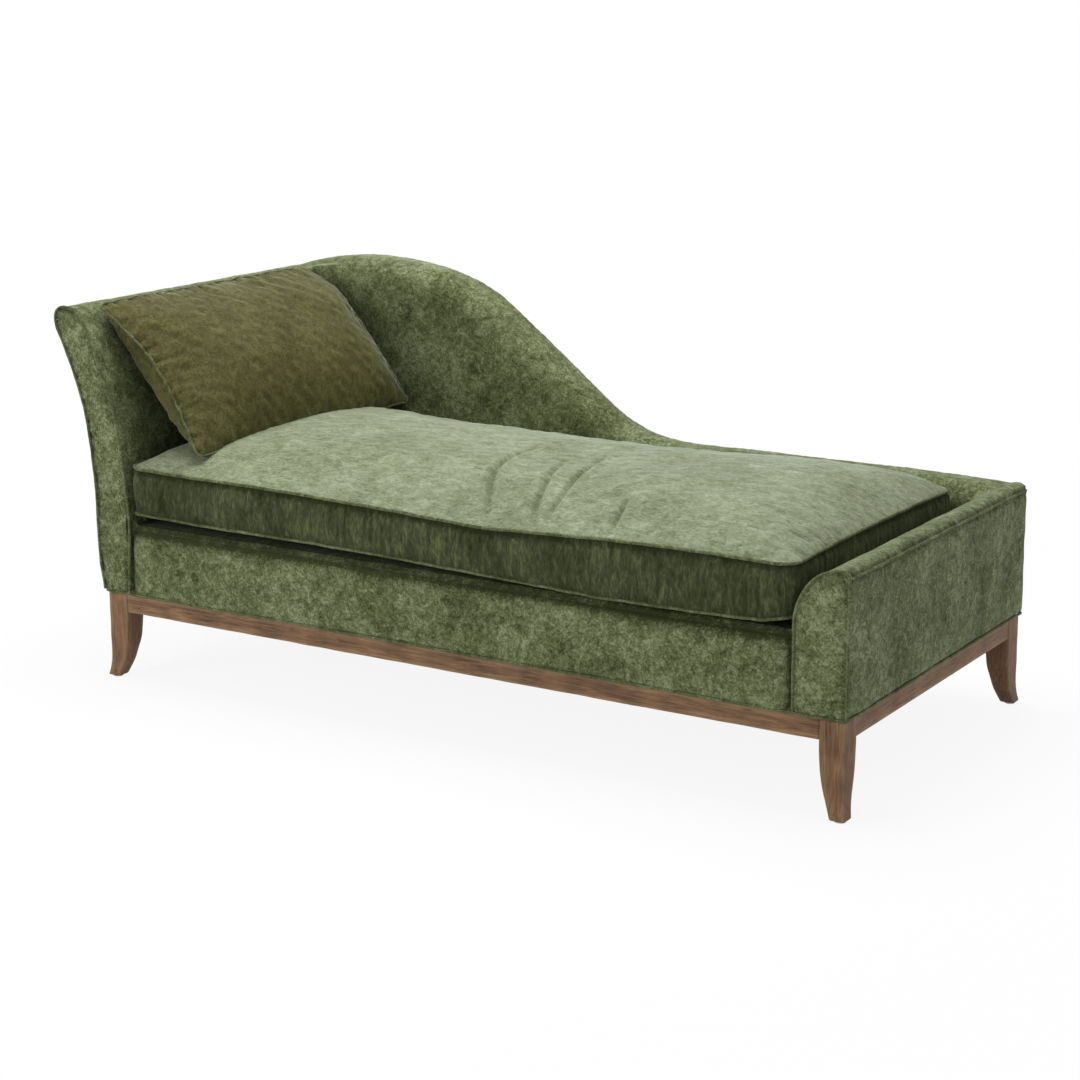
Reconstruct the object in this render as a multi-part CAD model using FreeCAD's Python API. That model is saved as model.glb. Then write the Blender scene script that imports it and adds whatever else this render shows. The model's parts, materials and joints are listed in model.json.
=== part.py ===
import FreeCAD, Part
import math
import os

Vector = FreeCAD.Vector

# Sizes in millimetres. The model frame has its origin on the floor under the middle of the whole
# length, X runs from the head end to the foot end, the open long side faces -Y and Z is up.
# Outlines below are drawn from the middle of the base and shifted once, when they are saved.
base_shift = 53.0
base_length = 1800.0
base_depth = 868.0
half_length = base_length / 2
half_depth = base_depth / 2

# Heights, from the floor up
glide_top = 3.0
apron_bottom = 153.0
apron_top = 195.0
dust_cover_top = 196.0
seat_rail_top = 290.0
upholstery_bottom = 201.2
spring_space_top = 296.2
insulator_bottom = 296.4
deck_foam_bottom = 302.4
deck_cover_bottom = 350.0
deck_top = 352.0

# Wooden base
leg_width = 53.0
leg_inset = 5.0
leg_curve_top = 150.0
apron_setback = 2.0
apron_thickness = 22.0
foot_kick = [(0.0, 50.0), (1.5, 32.0), (4.0, 16.0), (7.0, glide_top)]
inside_taper = [(28.0, glide_top), (20.0, 25.0), (12.0, 50.0), (6.0, 75.0), (2.0, 100.0),
                (0.0, leg_curve_top)]
corner_block_reach = 100.0
corner_block_bottom = 155.0
leg_bolt_height = 175.0
leg_bolt_diameter = 8.0
leg_bolt_in_leg = 28.0
leg_bolt_past_block = 14.0
washer_diameter = 24.0
washer_thickness = 2.0
nut_corner_radius = 7.5
nut_thickness = 6.5
screw_diameter = 5.0
screw_head_diameter = 10.0
screw_head_height = 3.0
base_screw_inset = 75.0
base_screw_length = 66.0
long_apron_gap = 7.5
short_apron_gap = 9.0
frame_screw_length = 64.0
frame_screw_heights = (220.0, 266.0)
glide_diameter = 22.0
glide_nail_diameter = 3.0
glide_nail_length = 14.0

# Hidden timber frame. Slats and the foot's top rail are given by their sides in X and Z.
rail_thickness = 28.0
rail_inset = 16.0
end_rail_inset = 20.0
cross_rail_places = (-300.0, 300.0)
cross_rail_top = 250.0
board_thickness = 22.0
back_board_thickness = 18.0
board_gap = 0.5
head_board_places = (-421.0, -151.0, 118.0, 364.0)
foot_board_places = (-421.0, -40.0, 364.0)
slat_ends = (-420.0, 340.0)
head_slat_sides = [(-984.0, 770.0, -950.0, 792.0), (-900.0, 540.0, -866.0, 562.0)]
foot_rail_sides = (842.0, 430.0, 872.0, 452.0)
spacer_count = 6
spacer_width = 28.0
board_drop = 6.0
outer_board_drop = 2.0

# Layers of the upholstery, measured inwards from its outer surface
cover_thickness = 2.0
padding_depth = 12.0
frame_play = 0.5
welt_diameter = 5.6
base_welt_diameter = 6.0
welt_sink = 0.6
base_welt_sink = 1.6
base_welt_corner = 6.0
welt_end_gap = 6.0
foot_back_welt_height = 465.0
border_roll_radius = 25.0
deck_reach = 850.0
deck_tuck = 20.0

# Rear wall
rear_wall_thickness = 104.0
rear_inner_y = half_depth - rear_wall_thickness
crest_inner_radius = 58.0
crest_outer_radius = 20.0
corner_radius = 125.0
corner_backing = 30.0
corner_top_x = -951.0
corner_heights = (upholstery_bottom, 367.0, 430.0, 521.0, 607.0, 703.0, 793.0, 850.0)
corner_below_crest = 14.0
crest_bottom_x = -862.0

# Outline of the head end in X and Z, up the outside, over the top and down the inside
head_outline = [
    (-900.0, 201.2), (-909.0, 276.0), (-911.0, 401.0), (-917.0, 490.0), (-930.0, 585.0),
    (-955.0, 670.0), (-989.0, 749.0), (-1004.0, 788.0), (-1001.0, 811.0), (-984.0, 822.0),
    (-957.0, 818.0), (-927.0, 793.0), (-887.0, 703.0), (-853.0, 607.0), (-836.0, 521.0),
    (-826.0, 430.0), (-820.0, 367.0), (-824.0, 276.0), (-828.0, 201.2),
]

# Outline of the foot end in X and Z, up the inside, over the rolled top and down the outside
foot_outline = [
    (790.0, 201.2), (790.0, 361.0), (795.5, 405.0), (811.0, 436.0), (836.0, 464.0),
    (864.0, 477.0), (885.0, 480.0), (897.0, 474.0), (900.0, 460.0), (900.0, 201.2),
]

# Zone of the head's outside panel in X and Z, which ends at the seam under the rolled top
head_back_zone = [(-1060.0, 190.0), (-865.0, 190.0), (-880.0, 500.0), (-940.0, 700.0), (-985.0, 795.0),
                  (-1060.0, 805.0)]

# Crest of the rear wall in X and Z, from the head corner down the long curve to the foot corner
crest_outline = [
    (-984.0, 818.0), (-907.0, 841.0), (-830.0, 854.0), (-756.0, 858.0), (-682.0, 857.0),
    (-610.0, 850.0), (-537.0, 837.0), (-467.0, 815.0), (-397.0, 780.0), (-342.0, 741.0),
    (-233.0, 660.0), (-125.0, 576.0), (-40.0, 519.0), (45.0, 492.0), (200.0, 486.0),
    (500.0, 486.0), (790.0, 484.0), (900.0, 478.0),
]

# Loose seat cushion: its widest plan outline, and how far in the outline lies at each height
cushion_sides = (-816.0, 786.0, -436.0, 321.0)
cushion_low_welt = 381.0
cushion_high_welt = 475.0
cushion_levels = [
    (352.6, 150.0), (358.0, 84.0), (368.0, 34.0), (381.0, 2.0), (404.0, 0.0), (428.0, 0.6),
    (452.0, 0.0), (475.0, 2.0), (488.0, 36.0), (499.0, 94.0), (506.0, 170.0), (509.0, 260.0),
]
cushion_corner_radii = (64.0, 44.0, 44.0, 118.0)
cushion_drawn_in = (5.0, 3.0, 0.0, 3.0)
cushion_cover_thickness = 1.6
cushion_wrap_depth = 16.0
cushion_welt_inset = 3.0
corner_softening = 0.4
largest_rounding = 0.42

# Zip in the rear side of the seat cushion, and its slider
zip_reach = 620.0
zip_height = 428.0
zip_pocket_depth = 2.4
zip_tape_width = 28.0
zip_tape_thickness = 1.2
zip_coil_width = 5.0
zip_coil_thickness = 1.6
slider_length = 14.0
slider_width = 14.0
slider_gap = 0.2
slider_plate = 1.8
slider_start = 6.0
pull_width = 6.0
pull_thickness = 1.2
pull_ends = (-30.0, 4.0)

# Lumbar pillow: its middle, the directions of its long and short sides, its size and its swell
pillow_centre = Vector(-757.0, -33.0, 679.0)
pillow_long_side = Vector(56.0, 706.0, 11.5)
pillow_short_side = Vector(-266.0, 0.0, 301.0)
pillow_length = 700.0
pillow_height = 398.0
pillow_levels = [(-57.0, 176.0), (-53.0, 132.0), (-44.0, 86.0), (-30.0, 42.0), (-14.0, 12.0),
                 (0.0, 0.0), (14.0, 12.0), (30.0, 42.0), (44.0, 86.0), (53.0, 132.0), (57.0, 176.0)]
pillow_corner_radii = (24.0, 24.0, 24.0, 24.0)
pillow_drawn_in = (7.0, 5.0, 7.0, 5.0)
pillow_cover_thickness = 1.4
pillow_welt_diameter = 5.0
pillow_welt_inset = 1.2

# Sinuous springs of the seat deck
spring_count = 12
spring_spacing = 128.0
spring_wire = 3.6
spring_bar_length = 22.0
spring_turns = 31
spring_reach = 404.0
clip_width = 18.0
clip_plate = 1.2
clip_length = 12.0
clip_play = 0.2

os.makedirs("parts", exist_ok=True)


# Saves one node, shifted into the model frame
def save(name, shape):
    moved = shape.copy()
    moved.translate(Vector(base_shift, 0, 0))
    moved.exportStep("parts/" + name + ".step")
    print(name, len(moved.Solids), "solids", round(moved.Volume), "mm3")


def box(x0, y0, z0, x1, y1, z1):
    return Part.makeBox(x1 - x0, y1 - y0, z1 - z0, Vector(x0, y0, z0))


def group(shapes):
    return Part.makeCompound(shapes)


def on_front_plane(points, y):
    return [Vector(x, y, z) for x, z in points]


# Moves each point of an outline inwards, to the right of the way the outline runs
def inset_outline(points, inset):
    moved = []
    last = len(points) - 1
    for index, (x, z) in enumerate(points):
        before = points[max(index - 1, 0)]
        after = points[min(index + 1, last)]
        run = after[0] - before[0]
        rise = after[1] - before[1]
        length = math.hypot(run, rise)
        moved.append((x + inset * rise / length, z - inset * run / length))
    return moved


def spline(points, start=None, end=None):
    curve = Part.BSplineCurve()
    if start is None:
        curve.interpolate(points)
    else:
        curve.interpolate(Points=points, InitialTangent=start, FinalTangent=end)
    return curve.toShape()


far = 1200.0
up = Vector(0, 0, 1)
down = Vector(0, 0, -1)


# Edges of an end's arch, at an inset from its outer surface and on one front plane
def head_edges(inset, y):
    points = inset_outline(head_outline, inset)
    points[0] = (head_outline[0][0] + inset, head_outline[0][1])
    points[-1] = (head_outline[-1][0] - inset, head_outline[-1][1])
    return [spline(on_front_plane(points, y))]


def foot_edges(inset, y):
    points = inset_outline(foot_outline, inset)
    points[0] = (foot_outline[0][0] + inset, foot_outline[0][1])
    points[1] = (foot_outline[1][0] + inset, foot_outline[1][1])
    points[-2] = (foot_outline[-2][0] - inset, foot_outline[-2][1])
    points[-1] = (foot_outline[-1][0] - inset, foot_outline[-1][1])
    places = on_front_plane(points, y)
    inside = Part.LineSegment(places[0], places[1]).toShape()
    rolled_top = spline(places[1:-1], up, down)
    outside = Part.LineSegment(places[-2], places[-1]).toShape()
    return [inside, rolled_top, outside]


def closed_face(edges):
    first = edges[0].firstVertex().Point
    last = edges[-1].lastVertex().Point
    base = Part.LineSegment(last, first).toShape()
    return Part.Face(Part.Wire(edges + [base]))


# Solid of one end of the upholstered body, between two depths
def end_mass(edge_maker, inset, y0, y1):
    face = closed_face(edge_maker(inset, y0))
    return face.extrude(Vector(0, y1 - y0, 0))


def crest_points(drop):
    return inset_outline(crest_outline, drop)


# Slab below the crest of the rear wall, between two depths and at a drop below the crest
def slab_under_crest(drop, y0, y1, bottom):
    points = crest_points(drop)
    crest = spline(on_front_plane(points, y0))
    places = [
        Vector(points[-1][0], y0, points[-1][1]),
        Vector(points[-1][0], y0, bottom),
        Vector(crest_bottom_x, y0, bottom),
        Vector(points[0][0], y0, points[0][1]),
    ]
    sides = [Part.LineSegment(places[i], places[i + 1]).toShape() for i in range(3)]
    face = Part.Face(Part.Wire([crest] + sides))
    return face.extrude(Vector(0, y1 - y0, 0))


# Rear wall with both edges of its crest rounded over
def rear_mass(inset):
    y0 = rear_inner_y + inset
    y1 = half_depth - inset
    wall = slab_under_crest(inset, y0, y1, upholstery_bottom)
    wall = wall.common(box(-far, y0 - 1, 0, half_length - inset, y1 + 1, far))
    for y, radius in ((y0, crest_inner_radius - inset), (y1, crest_outer_radius - inset)):
        edges = []
        for edge in wall.Edges:
            bounds = edge.BoundBox
            if bounds.XLength > 1500 and bounds.ZMin > 400 and abs(bounds.YMin - y) < 0.01:
                if abs(bounds.YMax - y) < 0.01:
                    edges.append(edge)
        wall = wall.makeFillet(radius, edges)
    return wall


# The head's inner surface at one height, found along the outline
def head_inner_x(z):
    points = head_outline[11:]
    for (x1, z1), (x0, z0) in zip(points, points[1:]):
        if z0 <= z <= z1:
            return x0 + (x1 - x0) * (z - z0) / (z1 - z0)
    return points[0][0]


# Hollow corner between the head end and the rear wall, a quarter round at each height
def corner_mass(inset):
    sections = []
    for z in corner_heights:
        radius = corner_radius
        x = head_inner_x(z) - inset
        if z > head_outline[11][1]:
            x = corner_top_x - inset
        y = rear_inner_y + inset
        back = corner_backing
        start = Vector(x, y - radius, z)
        end = Vector(x + radius, y, z)
        reach = radius * (1 - math.sqrt(0.5))
        middle = Vector(x + reach, y - reach, z)
        places = [end, Vector(x + radius, y + back, z), Vector(x - back, y + back, z),
                  Vector(x - back, y - radius, z), start]
        edges = [Part.LineSegment(places[i], places[i + 1]).toShape() for i in range(4)]
        edges.append(Part.Arc(start, middle, end).toShape())
        sections.append(Part.Wire(edges))
    fill = Part.makeLoft(sections, True, True)
    front_y = rear_inner_y - 2 * corner_radius
    limit = slab_under_crest(inset + corner_below_crest, front_y, half_depth - inset, upholstery_bottom)
    return fill.common(limit)


# The whole upholstered body as one mass, at an inset from its outer surface
def body_mass(inset):
    depth = half_depth - inset
    mass = end_mass(head_edges, inset, -depth, depth)
    mass = mass.fuse(rear_mass(inset))
    mass = mass.fuse(corner_mass(inset))
    mass = mass.fuse(end_mass(foot_edges, inset, -depth, depth))
    return mass


outer_mass = body_mass(0.0)
padded_mass = body_mass(cover_thickness)
frame_mass = body_mass(padding_depth)
print("body masses", outer_mass.isValid(), padded_mass.isValid(), frame_mass.isValid())

# Room for the seat frame, which the layers of the upholstery leave free
frame_x = half_length - padding_depth - frame_play
frame_y = half_depth - padding_depth - frame_play
frame_zone = box(-frame_x, -frame_y, apron_top, frame_x, frame_y, spring_space_top)

covers = outer_mass.cut(padded_mass).cut(frame_zone)
padding = padded_mass.cut(frame_mass).cut(frame_zone)


# Tube along a flat wire, one length for each of its edges
def tube(wire, diameter, square_to=Vector(0, 1, 0)):
    lengths = []
    for edge in wire.OrderedEdges:
        start = edge.valueAt(edge.FirstParameter)
        direction = edge.tangentAt(edge.FirstParameter)
        ring = Part.Wire(Part.makeCircle(diameter / 2, start, direction))
        shell = Part.BRepOffsetAPI.MakePipeShell(Part.Wire(edge))
        shell.setBiNormalMode(square_to)
        shell.add(ring, False, False)
        shell.build()
        shell.makeSolid()
        lengths.append(shell.shape())
    if len(lengths) == 1:
        return lengths[0]
    return lengths[0].multiFuse(lengths[1:])


def cylinder(radius, height, base, direction):
    return Part.makeCylinder(radius, height, base, direction)


# Welts of the body
def head_facing_welt():
    wire = Part.Wire(head_edges(welt_sink, -half_depth + welt_sink))
    return tube(wire, welt_diameter)


def foot_facing_welt():
    wire = Part.Wire(foot_edges(welt_sink, -half_depth + welt_sink))
    return tube(wire, welt_diameter)


def base_welt():
    x = half_length - base_welt_sink
    y = half_depth - base_welt_sink
    z = upholstery_bottom - base_welt_diameter / 2
    radius = base_welt_corner
    edges = []
    sides = [((-x, y), (-x, -y)), ((-x, -y), (x, -y)), ((x, -y), (x, y)), ((x, y), (-x, y))]
    for index, (start, end) in enumerate(sides):
        run = Vector(end[0] - start[0], end[1] - start[1], 0)
        run.normalize()
        after = sides[(index + 1) % 4]
        turn = Vector(after[1][0] - after[0][0], after[1][1] - after[0][1], 0)
        turn.normalize()
        first = Vector(start[0], start[1], z) + run * radius
        last = Vector(end[0], end[1], z) - run * radius
        edges.append(Part.LineSegment(first, last).toShape())
        centre = last + turn * radius
        middle = centre + (run - turn) * (radius * math.sqrt(0.5))
        edges.append(Part.Arc(last, middle, centre + run * radius).toShape())
    return tube(Part.Wire(edges), base_welt_diameter, up)


def rear_outside_welt():
    points = crest_points(crest_outer_radius)[1:]
    edge = spline(on_front_plane(points, half_depth - welt_sink))
    return tube(Part.Wire(edge), welt_diameter)


def straight_welt(x, z):
    reach = half_depth - welt_end_gap
    line = Part.LineSegment(Vector(x, -reach, z), Vector(x, reach, z)).toShape()
    return tube(Part.Wire(line), welt_diameter, up)


head_welt = head_facing_welt()
foot_welt = foot_facing_welt()
bottom_welt = base_welt()
rear_welt = rear_outside_welt()
foot_back_welt = straight_welt(half_length - welt_sink, foot_back_welt_height)
facing_welts = group([head_welt, foot_welt])
top_welts = group([rear_welt, foot_back_welt])
welts = [head_welt, foot_welt, rear_welt, foot_back_welt]


def without(shape, tools):
    for tool in tools:
        shape = shape.cut(tool)
    return shape


# The one piece that is left of a panel when its seam lines are taken off
def panel(shape, seams):
    pieces = without(shape, seams).Solids
    return max(pieces, key=lambda piece: piece.Volume)


# Panels of the body's cover, cut from the one thin shell where the real seams run
def polygon_prism(points, y0, y1):
    places = on_front_plane(points, y0)
    wire = Part.makePolygon(places + [places[0]])
    return Part.Face(wire).extrude(Vector(0, y1 - y0, 0))


skin = half_depth - cover_thickness
front_skin = box(-far, -half_depth - 1, 0, far, -skin, far)
rear_skin = box(-far, skin, 0, far, half_depth + 1, far)
head_back_region = polygon_prism(head_back_zone, -skin, skin)
foot_back_region = box(half_length - border_roll_radius, -skin, 0, far, skin, foot_back_welt_height)
foot_inside_region = box(half_length / 2, -skin, 0, far, rear_inner_y, far).cut(foot_back_region)

head_facing = covers.common(front_skin).common(box(-far, -far, 0, 0, far, far))
foot_facing = covers.common(front_skin).common(box(0, -far, 0, far, far, far))
rear_outside = covers.common(rear_skin)
middle_covers = covers.cut(front_skin).cut(rear_skin)
head_outside = middle_covers.common(head_back_region)
foot_outside = middle_covers.common(foot_back_region)
foot_inside = middle_covers.common(foot_inside_region)
inside_back = without(middle_covers, [head_back_region, foot_back_region, foot_inside_region])


# Front border, rolled over into the deck
def front_border_layer(inset, depth):
    radius = border_roll_radius
    bottom = upholstery_bottom
    y = -half_depth + inset
    z = deck_top - inset
    corner_y = -half_depth + radius
    corner_z = deck_top - radius
    big = radius - inset
    small = big - depth
    spread = math.sqrt(0.5)
    places = {
        "a": Vector(0, y, bottom), "b": Vector(0, y, corner_z), "c": Vector(0, corner_y, z),
        "d": Vector(0, corner_y, z - depth), "e": Vector(0, y + depth, corner_z),
        "f": Vector(0, y + depth, bottom),
        "outer": Vector(0, corner_y - big * spread, corner_z + big * spread),
        "inner": Vector(0, corner_y - small * spread, corner_z + small * spread),
    }
    edges = [
        Part.LineSegment(places["a"], places["b"]).toShape(),
        Part.Arc(places["b"], places["outer"], places["c"]).toShape(),
        Part.LineSegment(places["c"], places["d"]).toShape(),
        Part.Arc(places["d"], places["inner"], places["e"]).toShape(),
        Part.LineSegment(places["e"], places["f"]).toShape(),
        Part.LineSegment(places["f"], places["a"]).toShape(),
    ]
    layer = Part.Face(Part.Wire(edges)).extrude(Vector(base_length, 0, 0))
    layer.translate(Vector(-half_length, 0, 0))
    return layer.cut(outer_mass)


deck_front = -half_depth + border_roll_radius
front_border = front_border_layer(0.0, cover_thickness)
front_padding = front_border_layer(cover_thickness, padding_depth - cover_thickness)


def deck_layer(bottom, top):
    rear_y = rear_inner_y + deck_tuck
    return box(-deck_reach, deck_front, bottom, deck_reach, rear_y, top).cut(outer_mass)


save("head_facing", panel(head_facing, welts))
save("foot_facing", panel(foot_facing, welts))
save("head_outside_cover", panel(head_outside, welts))
save("foot_outside_cover", panel(foot_outside, welts))
save("foot_inside_cover", panel(foot_inside, welts))
save("inside_back_cover", panel(inside_back, welts))
save("rear_outside_cover", panel(rear_outside, welts))
save("front_border", panel(front_border, welts))
save("front_border_padding", panel(front_padding, welts))
save("facing_welts", facing_welts)
save("top_welts", top_welts)
save("base_welt", bottom_welt)

head_padding_region = box(-far, -far, 0, -half_length / 2, rear_inner_y - corner_radius - deck_tuck, far)
foot_padding_region = box(half_length / 2, -far, 0, far, rear_inner_y + 1, far)
save("head_padding", panel(padding.common(head_padding_region), welts))
save("foot_padding", panel(padding.common(foot_padding_region), welts))
save("rear_padding", panel(padding.cut(head_padding_region).cut(foot_padding_region), welts))

save("deck_cover", deck_layer(deck_cover_bottom, deck_top))
save("deck_foam", deck_layer(deck_foam_bottom, deck_cover_bottom))
save("insulator_pad", deck_layer(insulator_bottom, deck_foam_bottom))


# Legs: square above the curve, kicked out below on both outer faces and tapered inside
def leg_slab(outer, across):
    inner = outer - leg_width

    def place(distance, z):
        if across:
            return Vector(0, distance, z)
        return Vector(distance, 0, z)

    outside_places = [place(outer + kick, z) for kick, z in foot_kick]
    inside_places = [place(inner + taper, z) for taper, z in inside_taper]
    top_outer = place(outer, apron_top)
    top_inner = place(inner, apron_top)
    edges = [
        Part.LineSegment(top_outer, outside_places[0]).toShape(),
        spline(outside_places),
        Part.LineSegment(outside_places[-1], inside_places[0]).toShape(),
        spline(inside_places),
        Part.LineSegment(inside_places[-1], top_inner).toShape(),
        Part.LineSegment(top_inner, top_outer).toShape(),
    ]
    face = Part.Face(Part.Wire(edges))
    if across:
        return face.extrude(Vector(far, 0, 0))
    return face.extrude(Vector(0, far, 0))


def corner_copy(shape, x_side, y_side):
    if x_side < 0:
        shape = shape.mirror(Vector(0, 0, 0), Vector(1, 0, 0))
    if y_side < 0:
        shape = shape.mirror(Vector(0, 0, 0), Vector(0, 1, 0))
    return shape


leg_corners = {"front_head": (-1, -1), "front_foot": (1, -1), "rear_head": (-1, 1), "rear_foot": (1, 1)}
leg_outer_x = half_length - leg_inset
leg_outer_y = half_depth - leg_inset
apron_outer_x = leg_outer_x - apron_setback
apron_outer_y = leg_outer_y - apron_setback
apron_inner_x = apron_outer_x - apron_thickness
apron_inner_y = apron_outer_y - apron_thickness
leg_inner_x = leg_outer_x - leg_width
leg_inner_y = leg_outer_y - leg_width
foot_centre = (foot_kick[-1][0] + inside_taper[0][0] - leg_width) / 2

leg_blank = leg_slab(leg_outer_x, False).common(leg_slab(leg_outer_y, True))

# Bolt from each corner block into its leg, with washer and nut on the block's long face
diagonal = Vector(-1, -1, 0).normalize()
leg_corner = Vector(leg_inner_x, leg_inner_y, leg_bolt_height)
inner_gap = (apron_inner_x - leg_inner_x) + (apron_inner_y - leg_inner_y)
block_depth = (corner_block_reach - inner_gap) / math.sqrt(2)
bolt_length = leg_bolt_in_leg + block_depth + leg_bolt_past_block
bolt = cylinder(leg_bolt_diameter / 2, bolt_length, leg_corner - diagonal * leg_bolt_in_leg, diagonal)
block_face = leg_corner + diagonal * block_depth
washer = cylinder(washer_diameter / 2, washer_thickness, block_face, diagonal).cut(bolt)
nut_base = block_face + diagonal * washer_thickness
side_way = Vector(1, -1, 0).normalize()
nut_points = []
for step in range(6):
    turn = math.radians(60 * step)
    sideways = side_way * (nut_corner_radius * math.cos(turn))
    nut_points.append(nut_base + sideways + up * (nut_corner_radius * math.sin(turn)))
nut_face = Part.Face(Part.makePolygon(nut_points + [nut_points[0]]))
nut = nut_face.extrude(diagonal * nut_thickness).cut(bolt)

block_points = [
    Vector(apron_inner_x, apron_inner_y, corner_block_bottom),
    Vector(apron_inner_x - corner_block_reach, apron_inner_y, corner_block_bottom),
    Vector(apron_inner_x, apron_inner_y - corner_block_reach, corner_block_bottom),
]
block = Part.Face(Part.makePolygon(block_points + [block_points[0]]))
block = block.extrude(up * (apron_top - corner_block_bottom))
block = block.cut(box(leg_inner_x, leg_inner_y, 0, far, far, far)).cut(bolt)

# Screws from below through each corner block into the seat frame
screw_places = [
    Vector(apron_inner_x - base_screw_inset, apron_inner_y - long_apron_gap, 0),
    Vector(apron_inner_x - short_apron_gap, apron_inner_y - base_screw_inset, 0),
]
corner_screws = []
for place in screw_places:
    shank_base = place + up * corner_block_bottom
    head_base = place + up * (corner_block_bottom - screw_head_height)
    shank = cylinder(screw_diameter / 2, base_screw_length, shank_base, up)
    head = cylinder(screw_head_diameter / 2, screw_head_height, head_base, up)
    corner_screws.append(shank.fuse(head))
block = without(block, corner_screws)

glide_x = leg_outer_x + foot_centre
glide_y = leg_outer_y + foot_centre
glide_nail = cylinder(glide_nail_diameter / 2, glide_nail_length, Vector(glide_x, glide_y, glide_top), up)
glide = cylinder(glide_diameter / 2, glide_top, Vector(glide_x, glide_y, 0), up).fuse(glide_nail)
leg = leg_blank.cut(bolt).cut(glide_nail)

for corner, (x_side, y_side) in leg_corners.items():
    save("leg_" + corner, corner_copy(leg, x_side, y_side))


def four_corners(shape):
    return [corner_copy(shape, x_side, y_side) for x_side, y_side in leg_corners.values()]


base_screws = []
for screw in corner_screws:
    base_screws += four_corners(screw)
save("corner_blocks", group(four_corners(block)))
save("leg_bolts", group(four_corners(bolt)))
save("leg_nuts_and_washers", group(four_corners(nut) + four_corners(washer)))
save("foot_glides", group(four_corners(glide)))
save("base_screws", group(base_screws))

save("apron_front", box(-leg_inner_x, -apron_outer_y, apron_bottom, leg_inner_x, -apron_inner_y, apron_top))
save("apron_rear", box(-leg_inner_x, apron_inner_y, apron_bottom, leg_inner_x, apron_outer_y, apron_top))
save("apron_head", box(-apron_outer_x, -leg_inner_y, apron_bottom, -apron_inner_x, leg_inner_y, apron_top))
save("apron_foot", box(apron_inner_x, -leg_inner_y, apron_bottom, apron_outer_x, leg_inner_y, apron_top))

dust_cover = box(-frame_x + 1, -frame_y + 1, apron_top, frame_x - 1, frame_y - 1, dust_cover_top)
save("dust_cover", without(dust_cover, base_screws))

# Seat frame: two long rails, two short rails between them, and two cross rails
rail_outer_x = half_length - end_rail_inset
rail_outer_y = half_depth - rail_inset
rail_inner_x = rail_outer_x - rail_thickness
rail_inner_y = rail_outer_y - rail_thickness
frame_screws = []
for z in frame_screw_heights:
    base = Vector(rail_outer_x - rail_thickness / 2, rail_outer_y, z)
    inwards = Vector(0, -1, 0)
    shank = cylinder(screw_diameter / 2, frame_screw_length, base, inwards)
    head = cylinder(screw_head_diameter / 2, screw_head_height, base, inwards)
    frame_screws += four_corners(shank.fuse(head))
save("frame_screws", group(frame_screws))

long_rail = box(-rail_outer_x, -rail_outer_y, dust_cover_top, rail_outer_x, -rail_inner_y, seat_rail_top)
short_rail = box(rail_inner_x, -rail_inner_y, dust_cover_top, rail_outer_x, rail_inner_y, seat_rail_top)
far_long_rail = long_rail.mirror(Vector(0, 0, 0), Vector(0, 1, 0))
far_short_rail = short_rail.mirror(Vector(0, 0, 0), Vector(1, 0, 0))
rail_screws = base_screws + frame_screws
save("seat_rail_front", without(long_rail, rail_screws))
save("seat_rail_rear", without(far_long_rail, rail_screws))
save("seat_rail_foot", without(short_rail, rail_screws))
save("seat_rail_head", without(far_short_rail, rail_screws))
cross_rails = []
for x in cross_rail_places:
    cross_rails.append(box(x - rail_thickness / 2, -rail_inner_y, dust_cover_top,
                           x + rail_thickness / 2, rail_inner_y, cross_rail_top))
save("cross_rails", group(cross_rails))

# Frame of the head end: shaped boards on the seat rails, tied by two long slats
board_bottom = seat_rail_top + board_gap
above_rails = box(-far, -far, board_bottom, far, far, far)
slat_front, slat_rear = slat_ends
head_slats = [box(x0, slat_front, z0, x1, slat_rear, z1) for x0, z0, x1, z1 in head_slat_sides]
head_boards = []
for y in head_board_places:
    board = end_mass(head_edges, padding_depth, y, y + board_thickness).common(above_rails)
    head_boards.append(without(board, head_slats))
save("head_boards", group(head_boards))
save("head_slats", group(head_slats))

# Frame of the rear wall: an inner and an outer board under the curved crest, and blocks between
inner_board_y = rear_inner_y + padding_depth
outer_board_y = half_depth - padding_depth - back_board_thickness
inner_board_back = inner_board_y + back_board_thickness
inner_board_drop = crest_inner_radius + board_drop
inner_board = slab_under_crest(inner_board_drop, inner_board_y, inner_board_back, spring_space_top)
outer_board = slab_under_crest(crest_outer_radius + outer_board_drop, outer_board_y,
                               outer_board_y + back_board_thickness, spring_space_top)
save("rear_inner_board", inner_board.common(frame_mass))
save("rear_outer_board", outer_board.common(frame_mass))
spacer_drop = inner_board_drop + board_drop
spacer_limit = slab_under_crest(spacer_drop, inner_board_back, outer_board_y, seat_rail_top)
spacers = []
for index in range(spacer_count):
    x = (index - (spacer_count - 1) / 2) * 2 * spring_spacing
    strip = box(x - spacer_width / 2, inner_board_back, seat_rail_top,
                x + spacer_width / 2, outer_board_y, far)
    spacers.append(strip.common(spacer_limit))
save("rear_spacers", group(spacers))

# Frame of the foot end
x0, z0, x1, z1 = foot_rail_sides
foot_rail = box(x0, slat_front, z0, x1, slat_rear, z1)
foot_boards = []
for y in foot_board_places:
    board = end_mass(foot_edges, padding_depth, y, y + board_thickness).common(above_rails)
    foot_boards.append(board.cut(foot_rail))
save("foot_boards", group(foot_boards))
save("foot_top_rail", foot_rail)


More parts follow.
